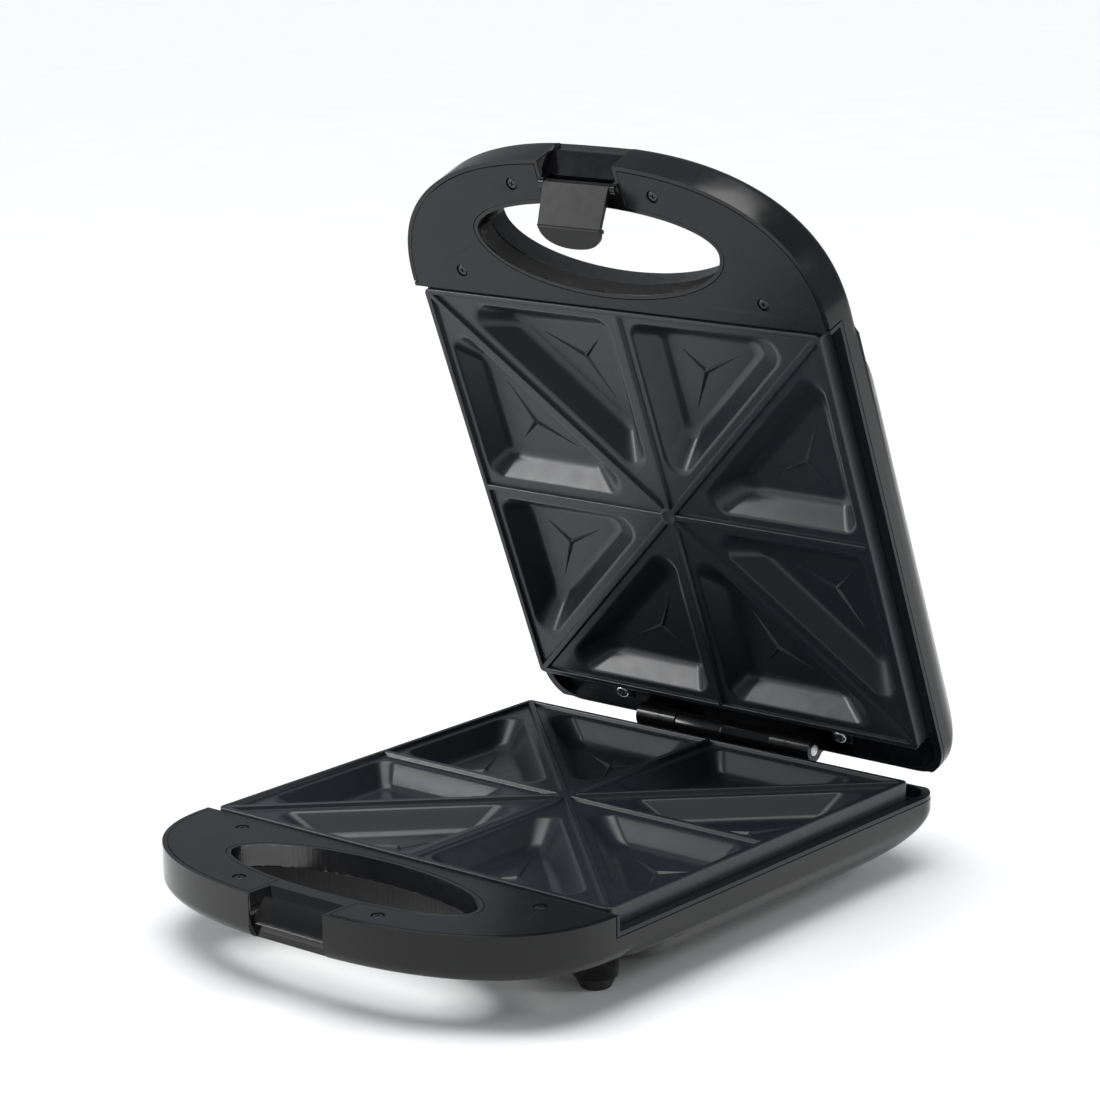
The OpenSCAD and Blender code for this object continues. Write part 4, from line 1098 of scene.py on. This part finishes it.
class TOASTER_OT_plates(bpy.types.Operator):
    """Build the two cooking plates with their dividers, pockets and creases"""

    bl_idname = "toaster.plates"
    bl_label = "Cooking plates"

    def execute(self, context):
        plan = plan_of(context)
        for body in ("base", "lid"):
            obj = plate(f"{body}_cooking_plate", plan, body)
            dress(obj, body, "plate", f"{body}_plate")
        return {"FINISHED"}


class TOASTER_OT_latch(bpy.types.Operator):
    """Build the hanging latch"""

    bl_idname = "toaster.latch"
    bl_label = "Latch"

    def execute(self, context):
        dress(latch("latch_flap", plan_of(context)), "latch", "latch", "latch")
        return {"FINISHED"}


class TOASTER_OT_hinge(bpy.types.Operator):
    """Build the hinge barrel"""

    bl_idname = "toaster.hinge"
    bl_label = "Hinge"

    def execute(self, context):
        dress(barrel("hinge_barrel", plan_of(context)), "lid", "casing", "hinge_tube")
        return {"FINISHED"}


class TOASTER_OT_screws(bpy.types.Operator):
    """Build the cover screws and the plate screws"""

    bl_idname = "toaster.screws"
    bl_label = "Screws"

    def execute(self, context):
        plan = plan_of(context)
        spots = [(s * x, y) for x, y in plan.screws for s in (-1, 1)]
        tabs = [(s * TAB_X, plan.tab_y) for s in (-1, 1)]
        for body in ("base", "lid"):
            obj = screws(f"{body}_cover_fixings", plan, body, spots, 0.5 - FACE_DROP - COVER_T, COVER_SCREW)
            dress(obj, body, "dark screw", f"{body}_cover_screws")
            obj = screws(f"{body}_plate_fixings", plan, body, tabs, TAB_Z + TAB_T, PLATE_SCREW)
            dress(obj, body, "bright screw", f"{body}_plate_screws")
        return {"FINISHED"}


class TOASTER_OT_feet(bpy.types.Operator):
    """Build the rubber feet and the cord bushing"""

    bl_idname = "toaster.feet"
    bl_label = "Feet and bushing"

    def execute(self, context):
        plan = plan_of(context)
        for spot, (x, y) in FEET.items():
            dress(foot(f"rubber_foot_{spot}", plan, x, y), "base", "rubber", f"{spot}_foot")
        dress(bushing("rubber_cord_bushing", plan), "base", "rubber", "cord_bushing")
        return {"FINISHED"}


class TOASTER_OT_lamps(bpy.types.Operator):
    """Build the two indicator lenses"""

    bl_idname = "toaster.lamps"
    bl_label = "Indicator lenses"

    def execute(self, context):
        plan = plan_of(context)
        for name, x, hue in (("power", -LAMP_X, "red"), ("ready", LAMP_X, "green")):
            dress(lens(f"{name}_lens", plan, x), "lid", f"{hue} lens", f"{name}_lamp_lens")
        return {"FINISHED"}


INNER_FINISHES = {
    "element": ("base_heating_element", "lid_heating_element"),
    "ceramic": ("base_element_terminals", "lid_element_terminals", "thermostat", "thermal_fuse",
                "lid_thermal_fuse", "terminal_block", "lid_terminal_block"),
    "tray": ("base_reflector", "lid_reflector"),
    "bright screw": ("base_tray_screws", "lid_tray_screws"),
    "wire": ("base_wiring", "lid_wiring"),
    "lamp": ("power_lamp", "ready_lamp"),
    "pin": ("hinge_pin_left", "hinge_pin_right", "latch_pin"),
}


class TOASTER_OT_inner(bpy.types.Operator):
    """Give the pieces inside the casings their finishes"""

    bl_idname = "toaster.inner"
    bl_label = "Inner pieces"

    def execute(self, context):
        for look, nodes in INNER_FINISHES.items():
            for node in nodes:
                coat(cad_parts[node].data, look)
        return {"FINISHED"}


# degrees: turn to the right, height above the level and roll
CAMERA_ANGLES = (39.596, 13.388, -0.682)
CAMERA_PLACE = (1015.2, -1237.7, 507.2)
CAMERA_LENS = 108.78
WORLD_COLOUR, WORLD_STRENGTH = (0.9, 0.95, 1.0, 1.0), 0.3
SKY_POWER, SKY_SPREAD = 2.75, 0.9
FLOOR_HALF = 20.0
# name, place, aim, size, watts
LIGHTS = (
    ("softbox left", (-1.6, -1.3, 0.9), (0.0, 0.0, 0.15), (0.3, 1.4), 26.0),
    ("softbox right", (1.7, 0.9, 0.8), (0.0, 0.0, 0.15), (0.3, 1.2), 14.0),
)


def camera_matrix(plan):
    """The camera's axes as columns: right, up and back, turned by the roll, at its place over the table."""
    a, e, roll = (math.radians(v) for v in CAMERA_ANGLES)
    right = Vector((math.cos(a), math.sin(a), 0.0))
    back = Vector((math.sin(a) * math.cos(e), -math.cos(a) * math.cos(e), math.sin(e)))
    up = back.cross(right)
    c, s = math.cos(roll), math.sin(roll)
    right, up = c * right + s * up, c * up - s * right
    spot = seat_base(np.array([CAMERA_PLACE]), plan)[0] * MM
    m = Matrix.Identity(4)
    for i, axis in enumerate((right, up, back)):
        m[0][i], m[1][i], m[2][i] = axis
    m[0][3], m[1][3], m[2][3] = spot
    return m


class TOASTER_OT_stage(bpy.types.Operator):
    """Set up the camera, the soft studio light and the pale floor"""

    bl_idname = "toaster.stage"
    bl_label = "Stage"

    def execute(self, context):
        plan = plan_of(context)
        scene = context.scene
        camera = bpy.data.cameras.new("camera")
        camera.lens = CAMERA_LENS
        camera.sensor_width = 36.0
        camera.clip_start, camera.clip_end = 0.05, 100.0
        rig = bpy.data.objects.new("camera", camera)
        rig.matrix_world = camera_matrix(plan)
        scene.collection.objects.link(rig)
        scene.camera = rig
        corners = [(sx * FLOOR_HALF, sy * FLOOR_HALF, 0.0) for sx, sy in ((-1, -1), (1, -1), (1, 1), (-1, 1))]
        floor = raw_object("floor", (np.array(corners), [[0, 1, 2, 3]]))
        floor.data.materials.append(finish("floor"))
        world = bpy.data.worlds.new("studio")
        world.use_nodes = True
        background = world.node_tree.nodes["Background"].inputs
        background["Color"].default_value = WORLD_COLOUR
        background["Strength"].default_value = WORLD_STRENGTH
        scene.world = world
        scene.view_settings.view_transform = "Standard"
        sky = bpy.data.lights.new("sky", "SUN")
        sky.energy, sky.angle = SKY_POWER, SKY_SPREAD
        scene.collection.objects.link(bpy.data.objects.new("sky", sky))
        for name, place_at, aim, size, power in LIGHTS:
            lamp = bpy.data.lights.new(name, "AREA")
            lamp.shape = "RECTANGLE"
            lamp.size, lamp.size_y = size
            lamp.energy = power
            rig = bpy.data.objects.new(name, lamp)
            spot = Vector(place_at)
            rig.location = spot
            rig.rotation_euler = (Vector(aim) - spot).to_track_quat("-Z", "Y").to_euler()
            scene.collection.objects.link(rig)
        return {"FINISHED"}


PIECES = (TOASTER_OT_casings, TOASTER_OT_covers, TOASTER_OT_plates, TOASTER_OT_latch, TOASTER_OT_hinge,
          TOASTER_OT_screws, TOASTER_OT_feet, TOASTER_OT_lamps, TOASTER_OT_inner, TOASTER_OT_stage)


class TOASTER_PT_panel(bpy.types.Panel):
    """Sizes, colours and the build steps of the toaster"""

    bl_idname = "TOASTER_PT_panel"
    bl_label = "Sandwich toaster"
    bl_space_type = "VIEW_3D"
    bl_region_type = "UI"
    bl_category = "Toaster"

    def draw(self, context):
        layout = self.layout
        for group in (context.scene.toaster_sizes, context.scene.toaster_colours):
            for name in group.__annotations__:
                layout.prop(group, name)
        for piece in PIECES:
            layout.operator(piece.bl_idname)


CLASSES = (ToasterSizes, ToasterColours, *PIECES, TOASTER_PT_panel)


def register():
    for cls in CLASSES:
        bpy.utils.register_class(cls)
    bpy.types.Scene.toaster_sizes = PointerProperty(type=ToasterSizes)
    bpy.types.Scene.toaster_colours = PointerProperty(type=ToasterColours)


def unregister():
    del bpy.types.Scene.toaster_colours
    del bpy.types.Scene.toaster_sizes
    for cls in reversed(CLASSES):
        bpy.utils.unregister_class(cls)


def main():
    """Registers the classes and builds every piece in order."""
    register()
    for piece in PIECES:
        group, name = piece.bl_idname.split(".")
        getattr(getattr(bpy.ops, group), name)()


if __name__ == "__main__":
    main()
